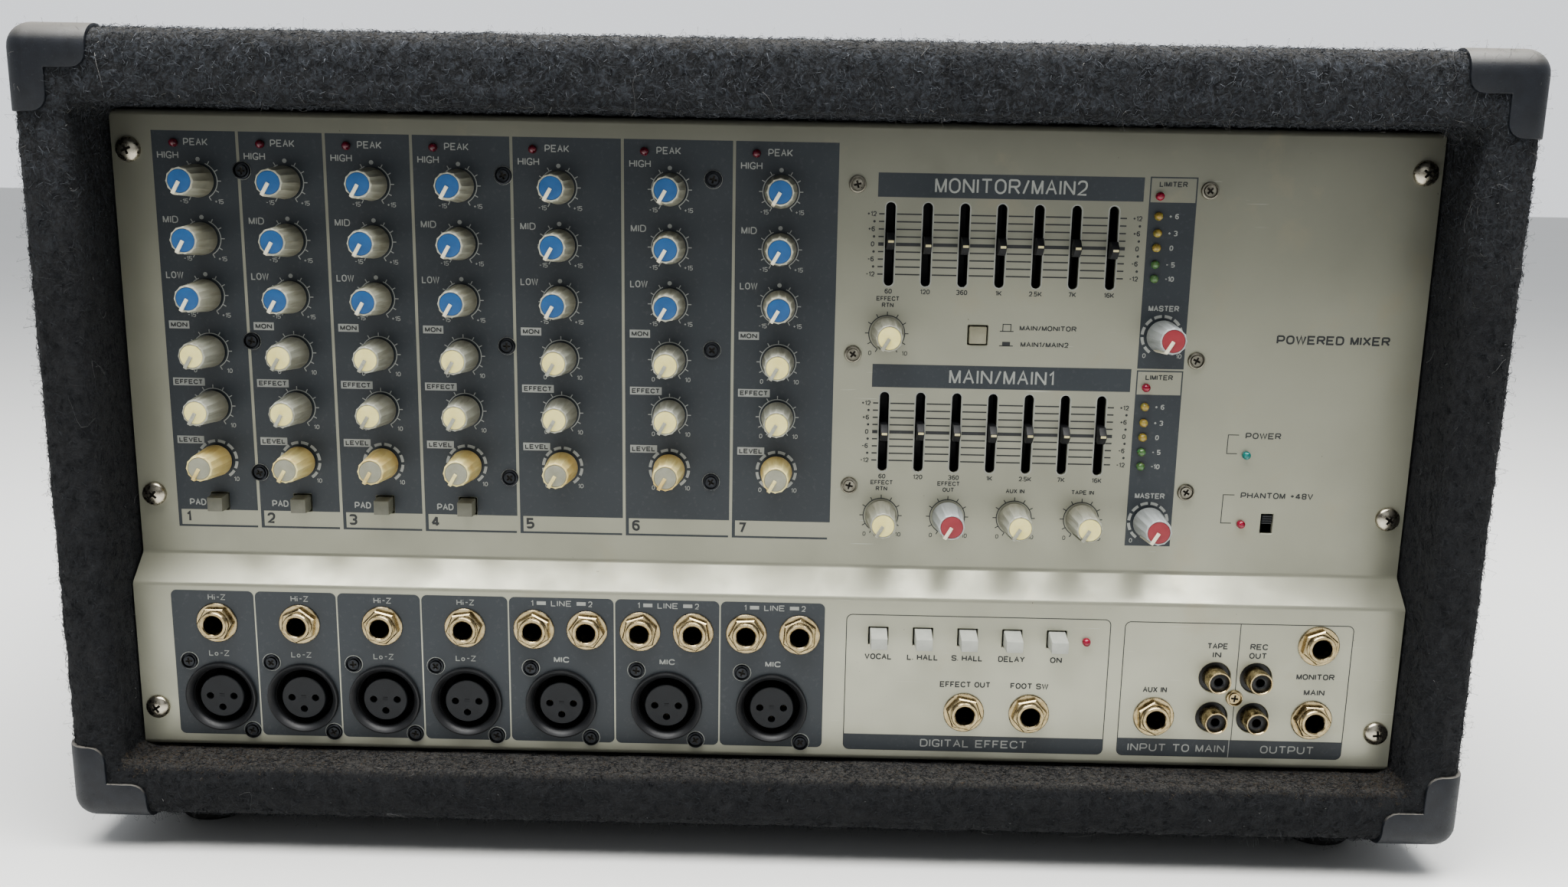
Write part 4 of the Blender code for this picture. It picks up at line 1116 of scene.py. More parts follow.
def print_channel(printing, n):
    """One channel strip's dark block and its legends."""
    x, foot = COLUMN[n], NUMBER_BOTTOM
    left = DIVIDERS[n - 1] + (DIVIDER / 2 if n > 1 else 0)
    right = DIVIDERS[n]
    printing.box("slate", left, BLOCK_BOTTOM, right - (DIVIDER / 2 if n < 7 else 0), BLOCK_TOP, 1)
    printing.box("slate", left, foot - 0.35, left + 1.1, BLOCK_BOTTOM, 1.2)
    printing.box("slate", left, foot - 0.35, right - 0.8, foot + 0.35, 1.1)
    printing.words("dark", str(n), left + 3.6, 115.5, 3.9, 2, weight=0.2)
    for word, shift, z, width in (
        ("PEAK", -0.4, 245, 8.2),
        ("HIGH", -10, 240.6, 7.2),
        ("MID", -10.6, 219.2, 5.2),
        ("LOW", -10.5, 200.5, 6),
    ):
        printing.words("light", word, x + shift, z, CHANNEL_TYPE, 2, width)
    for word, z, width in (("MON", 183.5, 7), ("EFFECT", 163.7, 11), ("LEVEL", 143.2, 9.4)):
        middle, half = x + (width / 2 - 13.7), width / 2
        printing.box("light", middle - half, z - 1.35, middle + half, z + 1.35, 2)
        printing.words("dark", word, middle, z, SMALL, 3, width - 1.3, weight=0.22)
    for row, z in TONE_ROWS.items():
        print_scale(printing, x, z, "plain" if row == "mon" else "centred")
    print_scale(printing, x, EFFECT_ROW, "plain")
    print_scale(printing, x, LEVEL_ROW, "dashes")
    if n in MIC_CHANNELS:
        printing.words("light", "PAD", x - 8, 120.8, CHANNEL_TYPE, 2, 5.8, weight=0.18)


LEVEL_STEP = 2.52
BAND_NAMES = ("60", "120", "360", "1K", "2.5K", "7K", "16K")


def print_equalizer(printing, title, title_width, row):
    """An equalizer's title bar, its level lines and its legends."""
    printing.box("slate", 34.9, row + 15.7, 123.8, row + 23.7, 1)
    printing.words("light", title, 79.4, row + 19.8, 5, 2, title_width, 0.13)
    edges = [35.5]
    for x in BAND_COLUMN.values():
        edges += [x - 2.1, x + 2.1]
    edges.append(118.7)
    for i in range(9):
        level = 12 - 3 * i
        z = row + (4 - i) * LEVEL_STEP
        half = (0.46 if level else 1.15) / 2
        for start, end in zip(edges[::2], edges[1::2]):
            printing.box("dark", start, z - half, end, z + half, 1)
        for x in (33.2, 122.4):
            if level % 6:
                printing.dot("dark", x + 0.8, z, 0.42, 1)
            else:
                text, shift = (f"{level:+d}", -0.2) if level else ("0", 0.4)
                printing.words("dark", text, x + shift, z, SMALL, 1, weight=0.19)
    for x, text in zip(BAND_COLUMN.values(), BAND_NAMES):
        rim = rounded_rect(x, row, SLOT_WIDTH + 0.4, SLOT_LENGTH + 0.4, SLOT_WIDTH / 2 + 0.19)
        printing.line("light", [*rim, rim[0]], 0.35, 1.5)
        printing.words("dark", text, x, row - 15.8, SMALL, 1, weight=0.19)


METER_LEFT, METER_RIGHT = 125.7, 141.6
METER_LEDS = {
    "monitor": (233.1, 226.5, 220.9, 216.0, 210.4, 205.6),
    "main": (168.3, 161.6, 156.0, 150.9, 145.7, 140.6),
}


def print_meter(printing, top, bottom, name):
    """A level meter's dark strip, the light box round its limiter lamp and its legends."""
    row = centre(f"{name}_master_knob").z
    inset, foot = 0.45, top - 8.4
    for left, low, right, high in (
        (METER_LEFT, bottom, METER_RIGHT, foot),
        (METER_LEFT, foot, METER_LEFT + inset, top - inset),
        (METER_RIGHT - inset, foot, METER_RIGHT, top - inset),
        (METER_LEFT, top - inset, METER_RIGHT, top),
    ):
        printing.box("slate", left, low, right, high, 1)
    printing.words("dark", "LIMITER", 133.5, top - 2.4, 1.8, 1, 9.4, weight=0.2)
    for text, z in zip(("+ 6", "+ 3", "0", "- 5", "-10"), METER_LEDS[name][1:]):
        printing.words("light", text, 134.3, z, 1.8, 2, weight=0.2)
    x = centre("main_master_knob").x
    printing.words("light", "MASTER", x, row + 9.4, 2, 2, 10.4, weight=0.2)
    print_scale(printing, x, row, "dashes")


def print_masters(printing):
    print_equalizer(printing, "MONITOR/MAIN2", 51, EQ_ROWS["monitor"])
    print_equalizer(printing, "MAIN/MAIN1", 36, EQ_ROWS["main"])
    print_meter(printing, 239.5, 174.9, "monitor")
    print_meter(printing, 174.3, 112, "main")
    for name, *lines in (
        ("monitor_effect_return_knob", "EFFECT", "RTN"),
        ("main_effect_return_knob", "EFFECT", "RTN"),
        ("effect_out_knob", "EFFECT", "OUT"),
        ("aux_in_knob", "AUX IN"),
        ("tape_in_knob", "TAPE IN"),
    ):
        x, z = place_of(name)
        print_scale(printing, x, z, "plain", "dark", 1)
        for i, text in enumerate(reversed(lines)):
            printing.words("dark", text, x, z + 9.7 + 2.2 * i, 1.6, 1, weight=0.2)
    left, right = 79, 81.7
    for z in (186.8, 181.8):
        printing.line("dark", [(left - 1, z), (right + 1, z)], 0.3, 1)
    printing.line("dark", [(left, 186.8), (left, 189.2), (right, 189.2), (right, 186.8)], 0.3, 1)
    printing.box("dark", left, 181.8, right, 183.2, 1)
    for text, x, z, height, width, weight in (
        ("MAIN/MONITOR", 94.4, 188, 1.8, 19.4, 0.2),
        ("MAIN1/MAIN2", 93.5, 182.4, 1.8, 16.4, 0.2),
        ("POWERED MIXER", 191.8, 185.8, 3.1, 38.6, 0.2),
        ("POWER", 171, 152.2, MEDIUM, 12.3, 0.19),
        ("PHANTOM +48V", 177.6, 131, MEDIUM, 25.3, 0.19),
    ):
        printing.words("dark", text, x, z, height, 1, width, weight)
    for top, bottom, reach in ((152.4, 145.8, 162.6), (131.1, 120.9, 162.8)):
        printing.line("dark", [(reach, top), (158.9, top), (158.8, bottom), (162.4, bottom)], 0.28, 1)


INPUT_BOXES = (
    (-209.4, -180.3),
    (-179.8, -151.3),
    (-150.8, -121.7),
    (-121.2, -90.9),
    (-90.4, -53.6),
    (-53.1, -16.5),
    (-16.0, 20.5),
)


def print_inputs(printing):
    for n, (left, right) in zip(CHANNELS, INPUT_BOXES):
        printing.box("slate", left, 37.5, right, 91.2, 1, 2)
        x = COLUMN[n]
        if n in MIC_CHANNELS:
            printing.words("light", "Hi-Z", x + 0.4, 88.8, 2.1, 2, 6.2)
            printing.words("light", "Lo-Z", x, 68.1, 2.1, 2, 7.2)
            continue
        printing.words("light", "LINE", x + 0.4, 89.1, 2.1, 2, 7.2)
        for side, digit in ((-1, "1"), (1, "2")):
            middle = x + 0.4 + side * 7
            printing.box("light", middle - 1.6, 88.5, middle + 1.6, 89.8, 2)
            printing.words("light", digit, x + 0.4 + side * 10.2, 89.1, 2.1, 2)
        printing.words("light", "MIC", x + 0.2, 68.4, 2.1, 2, 5.4, weight=0.2)


CHANNEL_SCREWS = [(x, UPPER_FACE, z) for x in (-179, -91, -20.4) for z in (235.8, 178.3, 131.9)]
XLR_EARS = ((-10.7, 13.1), (10.4, -12.6))
XLR_SCREWS = [(COLUMN[n] + x, LOWER_FACE, XLR_ROW + z) for n in CHANNELS for x, z in XLR_EARS]


def print_rims(printing):
    """The bare edge of the hole under each black screw."""
    for places, radius in ((CHANNEL_SCREWS, 3.12), (XLR_SCREWS, 3.28)):
        for x, printing.face, z in places:
            printing.dot("light", x, z, radius, 3.2)


def print_frame(printing, left, right, bottom, top, band):
    """A thin round-cornered outline whose foot is a solid band."""
    radius = 2
    outer = rounded_rect((left + right) / 2, (bottom + top) / 2, right - left, top - bottom, radius)
    for start, end in zip(outer, outer[1:] + outer[:1]):
        printing.line("dark", [start, end], 0.3, 1)
    foot = rounded_path([(left, band), (left, bottom), (right, bottom), (right, band)], radius, 6)
    printing.shape("slate", foot, 1.4)


def print_outputs(printing):
    print_frame(printing, 28.2, 120.6, 37.2, 87.5, 43)
    print_frame(printing, 125.7, 205.4, 37.2, 87, 43.7)
    printing.line("dark", [(166, 43.7), (166, 87)], 0.28, 1)
    printing.line("light", [(165.4, 37.2), (165.4, 43.7)], 0.3, 2)
    for text, x, z, width in (
        ("DIGITAL EFFECT", 74.6, 40.1, 38),
        ("INPUT TO MAIN", 146.8, 40.3, 34.5),
        ("OUTPUT", 186.2, 40.4, 19),
    ):
        printing.words("light", text, x, z, 2.9, 2, width)
    keys = (("VOCAL", 9.6), ("L. HALL", 11), ("S. HALL", 11), ("DELAY", 9.4), ("ON", 4.2))
    legends = [(text, centre(f"effect_key_{n}").x + 0.2, 72.2, width) for n, (text, width) in zip(KEYS, keys)]
    legends += [
        ("EFFECT OUT", 70.7, 62.4, 17.9),
        ("FOOT SW", 93.4, 62.3, 13.4),
        ("AUX IN", 137.7, 62.1, 8.5),
        ("TAPE", 158.5, 78.7, 7.3),
        ("IN", 158.5, 75.5, 3),
        ("REC", 173, 78.7, 6.2),
        ("OUT", 172.9, 75.4, 6.2),
        ("MONITOR", 193.7, 68, 13.4),
        ("MAIN", 193.8, 62.2, 7.3),
    ]
    for text, x, z, width in legends:
        printing.words("dark", text, x, z, MEDIUM, 1, width, 0.2)


def make_printing():
    printing = Print()
    for n in CHANNELS:
        print_channel(printing, n)
    print_masters(printing)
    printing.face = LOWER_FACE
    print_inputs(printing)
    print_outputs(printing)
    print_rims(printing)
    for ink, bm in printing.inks.items():
        bmesh.ops.recalc_face_normals(bm, faces=bm.faces)
        mesh = mesh_of(bm, f"{ink}_print")
        if ink == "slate":
            mesh = cut(mesh, add_panel_holes, "slate_print", angle=20)
        add_piece(f"{ink}_print", mesh, f"{ink}_ink", "panel_paint")


# ---- knobs ----

KNOB_BASE = 5.5
KNOB_TIP = 4.4
KNOB_TOP = 15
KNOB_LIFT = 0.8
RIBS = 12
SHAFT, SHAFT_DEPTH = 3, 7.5
KNOB_MINIMUM = math.radians(150)


def knob_radius(height):
    return KNOB_BASE + (KNOB_TIP - KNOB_BASE) * (height - KNOB_LIFT) / (KNOB_TOP - KNOB_LIFT)


def knob_mesh(name):
    """A tapered knob with twelve hollow flutes, an inset cap and a pointer down its side."""
    top, rim, foot = KNOB_TOP, KNOB_TIP - 0.5, KNOB_LIFT + 0.2

    def scallop(angle, height):
        rise = (height - 1.2) / (top - 1.2)
        depth = 0.085 * min(1, max(0, 2.2 * rise)) * (1 - 0.45 * max(0, rise) ** 3)
        return 1 - depth * abs(math.sin(RIBS / 2 * angle))

    def add_body(bm):
        profile = [(0, KNOB_LIFT), (KNOB_BASE - 0.5, KNOB_LIFT), (KNOB_BASE, KNOB_LIFT + 0.4)]
        profile += [(knob_radius(h) + 0.15, h) for h in (1.8, 3, 4.5, 6, 7.5, 9, 11, 13, 14.2)]
        profile += [(KNOB_TIP + 0.16, top - 0.35), (KNOB_TIP - 0.1, top - 0.05), (KNOB_TIP - 0.25, top)]
        add_turned(bm, [*profile, (0, top)], RIBS * 10, scallop=scallop)
        add_turned(bm, [(0, foot), (SHAFT, foot), (SHAFT, -SHAFT_DEPTH), (0, -SHAFT_DEPTH)], 16)

    def add_groove(bm):
        add_turned(bm, [(0, top + 1), (rim, top + 1), (rim, top - 0.45), (0, top - 0.45)], 60)

    body = cut(mesh_from(name, [add_body]), add_groove, name, angle=32)

    def add_cap(bm):
        radius = rim - 0.08
        profile = [(0, top + 0.02), (radius * 0.7, top), (radius - 0.12, top - 0.05), (radius, top - 0.18)]
        add_turned(bm, [*profile, (radius, top - 0.6), (0, top - 0.6)], 48)

    def add_pointer(bm):
        half, low, crest, reach = 0.6, 3, top + 0.45, KNOB_TIP + 0.45
        side = [(0.1, top - 1), (0.1, crest), (reach - 0.4, crest), (reach, crest - 0.4)]
        side += [(knob_radius(low) + 0.35, low), (SHAFT, low)]
        turn = Matrix.Rotation(KNOB_MINIMUM, 4, "Z")
        add_soft_loft(bm, [[(x, r, h) for r, h in side] for x in (-half, half)], 0.12, turn)

    return mesh_from(name, [lambda bm: add_mesh(bm, body), add_cap, add_pointer], 32)


def make_knobs():
    looks = {
        "tone": ("tone_body blue_cap white", "cream_cap_knob"),
        "return": ("clear_body cream_cap clear_body", "cream_cap_knob"),
        "level": ("cream_body grey_cap cream_body", "level_knob"),
        "master": ("clean_body red_cap white", "red_cap_knob"),
    }
    base = knob_mesh("knob")
    meshes = {kind: base.copy() for kind in looks}
    for name, kind, x, z, body in all_knobs():
        stands_for = () if body == "console" else (body,)
        add_piece(f"{name}_cap", meshes[kind], *looks[kind], body, on_face(x, UPPER_FACE, z), stands_for)


# ---- faders, buttons and lamps ----


def make_faders():
    tall, ridge, shoulder, top = 2.9, 0.5, 3.4, 5.95
    outline = [(-tall, -8), (tall, -8), (tall, shoulder), (ridge, top), (-ridge, top), (-tall, shoulder)]
    sections = [[(x, y, z) for y, z in outline] for x in (-1.2, 1.2)]
    lever = mesh_from("fader_lever", [lambda bm: add_soft_loft(bm, sections, 0.12)])
    low, high = (-0.95, -0.4, top - 0.5), (0.95, 0.4, top + 0.06)
    mark = mesh_from("fader_mark", [lambda bm: add_box(bm, low, high, 0.1)])
    for row in EQ_ROWS:
        for n in BANDS:
            body = f"{row}_eq_fader_{n}"
            x, z = place_of(body)
            at = on_face(x, UPPER_FACE, z)
            add_piece(f"{row}_fader_lever_{n}", lever, "fader", "black_plastic", body, at, (body,))
            add_piece(f"{row}_fader_mark_{n}", mark, "mark", "black_plastic", body, at)


def add_button(bm, width, height, tip, proud, depth, soft):
    """A square button through the panel, whose upper side slopes down to its tip."""
    w, h = width / 2, height / 2
    low, high, slim = -0.98 * h, tip - h, 0.97 * w
    back, base = ([(-w, -h, z), (w, -h, z), (w, h, z), (-w, h, z)] for z in (-depth, 0))
    front = [(-slim, low, proud), (slim, low, proud), (slim, high, proud), (-slim, high, proud)]
    add_soft_loft(bm, [back, base, front], soft)


def make_buttons():
    def button(name, *sizes):
        return mesh_from(name, [lambda bm: add_button(bm, *sizes)])

    pad = button("pad_button", 5.4, 5.4, 5, 5, 8, 0.2)
    key = button("effect_key", 5.9, 5.6, 4.1, 7, 5, 0.2)
    route = button("route_button", 6, 6, 5.8, 0.8, 8, 0.35)
    caps = [(f"pad_cap_{n}", pad, "pad", "grey_button", f"pad_button_{n}", UPPER_FACE) for n in MIC_CHANNELS]
    for n in KEYS:
        caps.append((f"effect_key_cap_{n}", key, "key", "light_grey_key", f"effect_key_{n}", LOWER_FACE))
    caps.append(("route_button_cap", route, "beige", "beige_button", "main_monitor_button", UPPER_FACE))
    for *what, body, face in caps:
        x, z = place_of(body)
        add_piece(*what, body, on_face(x, face, z), (body,))


def make_phantom_switch():
    """A ridged slide in a black well."""

    def add_slide(bm):
        add_box(bm, (-1.7, -1.6, -8), (1.7, 1.6, -0.4), 0.1)
        for i in range(4):
            y = (-1.2 + 0.8 * i)
            add_box(bm, (-1.65, y - 0.22, -0.6), (1.65, y + 0.22, 0.25), 0.08)

    body = "phantom_switch"
    x, z = place_of(body)
    mesh = mesh_from("phantom_slide", [add_slide])
    add_piece("phantom_slide", mesh, "black", "black_plastic", body, on_face(x, UPPER_FACE, z), (body,))

    def add_well(bm):
        add_box(bm, (-2.1, -3.5, -9.5), (2.1, 3.5, -8.4), 0.1)

    mesh = mesh_from("phantom_well", [add_well])
    add_piece("phantom_well", mesh, "black", "black_plastic", at=on_face(x, UPPER_FACE, z - 1.5))


def lamp_mesh(radius):
    dome = [(radius * math.sin(a), 0.6 + radius * math.cos(a)) for a in np.linspace(0, math.pi / 2, 7)]
    dome[0] = (0, dome[0][1])
    profile = dome + [(radius, -2), (0, -2)]
    return mesh_from("lamp", [lambda bm: add_turned(bm, profile, 24)])


PEAK_LAMPS = (-201.4, -172.3, -143.4, -114.3, -80.9, -43.5, -6.0)
METER_COLUMN = 129.2


def make_lamps():
    base = lamp_mesh(1.45)
    meshes = {}
    lamps = [(f"ch{n}_peak_lamp", "dim_red_lamp", PEAK_LAMPS[n - 1], 244.6, UPPER_FACE) for n in CHANNELS]
    colours = ("red_lamp", "amber_lamp", "amber_lamp", "amber_lamp", "green_lamp", "green_lamp")
    for row, places in METER_LEDS.items():
        for i, z in enumerate(places):
            lamps.append((f"{row}_meter_lamp_{i + 1}", colours[i], METER_COLUMN, z, UPPER_FACE))
    lamps.append(("power_lamp", "teal_lamp", 165.6, 145.3, UPPER_FACE))
    lamps.append(("phantom_lamp", "red_lamp", 165.8, 120.6, UPPER_FACE))
    lamps.append(("effect_lamp", "red_lamp", 112.4, 79.2, LOWER_FACE))
    for name, finish, x, z, face in lamps:
        if finish not in meshes:
            meshes[finish] = base.copy()
        add_piece(name, meshes[finish], finish, "black_plastic", at=on_face(x, face, z))


# ---- screws ----


def screw_mesh(name, radius, height, arm, deep, flat=False):
    """A cross-head screw on local Z, whose recess holds dirt. A flat one has a groove round its middle."""
    if flat:
        profile = [(0, height * 0.8), (radius * 0.62, height * 0.8), (radius * 0.67, height * 0.2)]
        profile += [(radius * 0.77, height * 0.2), (radius * 0.82, height), (radius * 0.94, height * 0.9)]
        profile += [(radius, height * 0.5)]
    else:
        turns = np.linspace(0, math.pi / 2, 9)
        profile = [(radius * math.sin(a), height * (0.2 + 0.8 * math.cos(a))) for a in turns]
        profile[0] = (0, height)
    profile += [(radius, -0.2), (0, -0.2)]
    head = mesh_from(name, [lambda bm: add_turned(bm, profile, 32)])

    def add_cross(bm):
        for turn in (0, math.pi / 2):
            spin = Matrix.Rotation(turn, 4, "Z")
            wide, thin, thick = arm / 2, arm / 5, arm * 0.11
            sections = []
            for half, depth in ((wide, height + 1), (wide, height), (thin, height - deep)):
                outline = ((-half, -thick), (half, -thick), (half, thick), (-half, thick))
                sections.append([spin @ Vector((x, y, depth)) for x, y in outline])
            add_loft(bm, sections)

    mesh = cut(head, add_cross, name, angle=30, use_self=True)
    for face in mesh.polygons:
        x, y, z = face.center / MM
        inside = min(abs(x), abs(y)) < arm * 0.112 and max(abs(x), abs(y)) < arm * 0.502
        face.material_index = int(inside and z > 0)
    return mesh


SIDE_SCREWS = (-216.8, 216.8)
INLET_EAR = 29.2


def make_screws():
    chance = random.Random(3)
    big = screw_mesh("pan_screw", 4.2, 2.4, 3.8, 1.4)
    small = screw_mesh("flat_screw", 2.95, 0.95, 3.0, 0.8, flat=True)
    heights = ((UPPER_FACE, 242.2), (UPPER_FACE, 123.5), (LOWER_FACE, 47.5))
    panel = [(x, face, z) for x in SIDE_SCREWS for face, z in heights]
    silver = [(x, UPPER_FACE, z) for x in (28, 145.7) for z in (235.2, 178, 131.7)]
    rear = [(x, REAR_FACE, z) for x in SIDE_SCREWS for z in (242.2, 144, 47.5)]
    inlet, mouth = centre("mains_inlet"), box_of("mains_inlet")[1].y
    ears = [(inlet.x + x, mouth, inlet.z) for x in (-INLET_EAR, INLET_EAR)]
    for name, mesh, places, finish, slot, facing in (
        ("panel_screws", big, panel, "nickel", "panel_paint", FACING_FRONT),
        ("channel_board_screws", small, CHANNEL_SCREWS, "black_screw", "panel_paint", FACING_FRONT),
        ("equalizer_board_screws", small, silver, "dull_nickel", "panel_paint", FACING_FRONT),
        ("xlr_screws", small, XLR_SCREWS, "black_screw", "sockets", FACING_FRONT),
        ("phono_screw", small, [(165.8, LOWER_FACE, 59.6)], "brass", "sockets", FACING_FRONT),
        ("rear_panel_screws", big, rear, "black_screw", "black_steel", FACING_REAR),
        ("inlet_screws", small, ears, "black_screw", "black_plastic", FACING_REAR),
    ):
        made = bmesh.new()
        for x, face, z in places:
            add_mesh(made, mesh, on_face(x, face, z, facing, chance.uniform(0, math.pi / 2)))
        joined = mesh_of(made, name)
        smooth(joined, 30)
        add_piece(name, joined, f"{finish} grime", slot)


# ---- sockets ----


PINS = ((-4.2, 0), (4.2, 0), (0, -4.2))


def turned(profile, sides):
    """A build that turns one profile."""
    return lambda bm: add_turned(bm, profile, sides)


def at_pins(profile, sides):
    """A build that turns one profile at each pin."""

    def build(bm):
        for x, y in PINS:
            add_turned(bm, profile, sides, moved(x, y, 0))

    return build


def xlr_mesh():
    """A socket's shell, insert with three pin holes, contacts, ridges, and a near-black sheet of painted
    shade lining the gap between shell and insert.
    """
    shell = [(0, -20), (12, -20), (12, 0), (12.6, 0.05), (12.6, 1.1), (12.4, 1.5), (12.0, 1.6), (11.4, 1.2)]
    shell += [(10.6, 0.3), (10.3, -0.6), (10.3, -10), (0, -10)]
    shell_mesh = mesh_from("xlr_shell", [turned(shell, 64)])
    core = [(0, 0.1), (7.5, 0.1), (7.75, -0.2), (7.75, -9.5), (0, -9.5)]
    hole = [(0, 1), (1.3, 1), (1.3, -8), (0, -8)]
    insert = cut(mesh_from("xlr_insert", [turned(core, 48)]), at_pins(hole, 20), "xlr_insert", angle=30)
    # painted shade: a near-black sheet over the shell's inner wall and the floor of the gap
    gap_shade_sheet = [(10.29, -0.9), (10.29, -9.8), (7.76, -9.8), (7.76, -9.4), (10.1, -9.4), (10.1, -0.9)]
    gap_shade_sheet.append(gap_shade_sheet[0])
    contact = [(0.75, -4), (1.15, -4), (1.15, -8), (0.75, -8), (0.75, -4)]

    def add_ridges(bm):
        for y in (0, 0.8):
            add_box(bm, (-0.9, y - 0.15, 0), (0.9, y + 0.15, 0.2), 0.05)

    builds = [lambda bm: add_mesh(bm, shell_mesh), lambda bm: add_mesh(bm, insert)]
    return mesh_from("xlr_socket", [*builds, at_pins(contact, 16), add_ridges, turned(gap_shade_sheet, 64)], 32)


def jack_mesh():
    """A quarter-inch jack: washer, hexagon nut, threaded bush and dark bore."""
    washer = [(5, 0), (7.0, 0), (7.15, 0.15), (7.15, 0.5), (6.9, 0.7), (5, 0.7), (5, 0)]
    flat = 6.35
    nut = [(4.4, 0.7), (flat, 0.7), (flat, 2.0), (flat * 0.93, 2.45), (4.4, 2.45), (4.4, 0.7)]
    bush = [(3.3, -3), (5.0, -3), (5.0, 2)]
    for height in (2.2 + 0.36 * i for i in range(4)):
        bush += [(4.85, height), (4.6, height + 0.18)]
    bush += [(4.8, 3.6), (4.55, 3.95), (3.75, 4), (3.4, 3.7), (3.3, -3)]
    body = [(0, -13.8), (3.35, -13.8), (3.35, -3.1), (5, -3.1), (5.2, -22), (0, -22)]
    builds = [turned(washer, 48), turned(nut, 6), turned(bush, 40), turned(body, 32)]
    return mesh_from("jack_socket", builds, 32)


def phono_mesh():
    barrel = [(3.3, -1), (4.1, -1), (4.1, 5.6), (3.9, 6), (3.5, 6), (3.3, 5.7), (3.3, -1)]
    insulator = [(0, -3), (1.55, -3), (1.55, 4.6), (2.0, 4.9), (3.3, 4.6)]
    insulator += [(3.3, -1), (5.4, -1), (5.4, -20), (0, -20)]
    return mesh_from("phono_socket", [turned(barrel, 40), turned(insulator, 32)], 32)


def make_sockets():
    xlr, jack, phono = xlr_mesh(), jack_mesh(), phono_mesh()
    jack_looks = "brass brass brass bore"
    for n in CHANNELS:
        at = on_face(COLUMN[n], LOWER_FACE, XLR_ROW)
        add_piece(f"ch{n}_xlr_socket", xlr, "xlr xlr_insert brass xlr_insert bore", "sockets", at=at)
    for i, (name, x, z) in enumerate(jack_places()):
        add_piece(name, jack, jack_looks, "sockets", at=on_face(x, LOWER_FACE, z, turn=0.4 * i))
    for name, (x, z) in PHONO_SOCKETS.items():
        add_piece(name, phono, "brass black", "sockets", at=on_face(x, LOWER_FACE, z))
    for i, x in enumerate(SPEAKER_JACKS):
        at = on_face(x, REAR_FACE, SPEAKER_ROW, FACING_REAR, 0.7 * i)
        add_piece(f"speaker_jack_{i + 1}", jack, jack_looks, "sockets", at=at)


# ---- boards ----


def make_board(node, name, add_parts, looks, slot):
    """A CAD board rebuilt without its sockets and knobs. Each of add_parts adds what stands before it."""
    low, high = box_of(node)
    board = high.y - BOARD

    def add_plate(bm):
        add_box(bm, (low.x, board, low.z), (high.x, high.y, high.z), 0.3)

    builds = [lambda bm, add=add: add(bm, board) for add in add_parts]
    add_piece(name, mesh_from(name, [add_plate, *builds]), looks, slot, stands_for=(node,))


def make_socket_board(node, name, blocks):
    def add_bodies(bm, board):
        for x, z, size in blocks:
            add_block(bm, x, z, size, size, LOWER_FACE + 9.6, board, 0.5)

    make_board(node, name, [add_bodies], "mask black", "sockets")


def make_boards():
    """The boards that carry knobs and sockets, with potentiometers, switches and socket bodies."""
    rows = (*TONE_ROWS.values(), EFFECT_ROW, LEVEL_ROW)

    def add_pots(bm, board):
        for n in CHANNELS:
            for z in rows:
                add_block(bm, COLUMN[n], z, POT, POT, board - 8, board, 0.4)
        for n in MIC_CHANNELS:
            add_block(bm, COLUMN[n], PAD_ROW, 8, 8, board - 4, board, 0.4)

    make_board("channel_board", "channel_board_and_pots", [add_pots], "mask steel", "circuit_board")
    inputs = [(x, z, 12) for name, x, z in jack_places() if name.startswith("ch")]
    inputs += [(COLUMN[n], XLR_ROW, 20) for n in CHANNELS]
    make_socket_board("input_socket_board", "input_board_and_bodies", inputs)
    outputs = [(x, z, 12) for name, x, z in jack_places() if not name.startswith("ch")]
    outputs += [(*place_of(f"effect_key_{n}"), 8) for n in KEYS]
    make_socket_board("output_socket_board", "output_board_and_bodies", outputs)


def make_equalizer_board():
    """The board behind the faders, with their black housings and the knobs' potentiometers."""
    front = UPPER_FACE + 1.9

    def add_housings(bm, board):
        def each(bm, width, length, near, far, radius):
            for row in EQ_ROWS.values():
                for x in BAND_COLUMN.values():
                    add_block(bm, x, row, width, length, near, far, radius)

        solid = mesh_from("housings", [lambda bm: each(bm, 9, 38, front, board - 0.2, 0.5)])
        add_mesh(bm, cut(solid, lambda bm: each(bm, 3.8, 30, front - 1, board - 3, 0), "housings"))

    def add_pots(bm, board):
        for name in MASTERS:
            add_block(bm, *place_of(name), POT, POT, board - 5.5, board - 0.2, 0.4)

    parts = [add_housings, add_pots]
    name = "equalizer_board_and_faders"
    make_board("equalizer_board", name, parts, "mask black steel", "circuit_board")


def make_amplifier_board():
    """The board behind the heatsink, with six output transistors and the bodies of the speaker jacks."""
    low, high = box_of("amplifier_board")
    board = REAR_FACE - 24
    sink = centre("amplifier_heatsink")
    back = box_of("amplifier_heatsink")[0].y - 0.3

    def add_plate(bm):
        add_box(bm, (low.x, low.y, low.z), (high.x, board, high.z), 0.3)

    def add_bodies(bm):
        for i in range(6):
            add_block(bm, sink.x + (i - 2.5) * 30, 135, 16, 20, board, back, 0.4)
        for x in SPEAKER_JACKS:
            add_block(bm, x, SPEAKER_ROW, 14, 14, board, REAR_FACE - 5, 0.5)

    mesh = mesh_from("amplifier_board_and_parts", [add_plate, add_bodies])
    name = "amplifier_board_and_parts"
    add_piece(name, mesh, "mask black", "circuit_board", stands_for=("amplifier_board",))


# ---- back ----


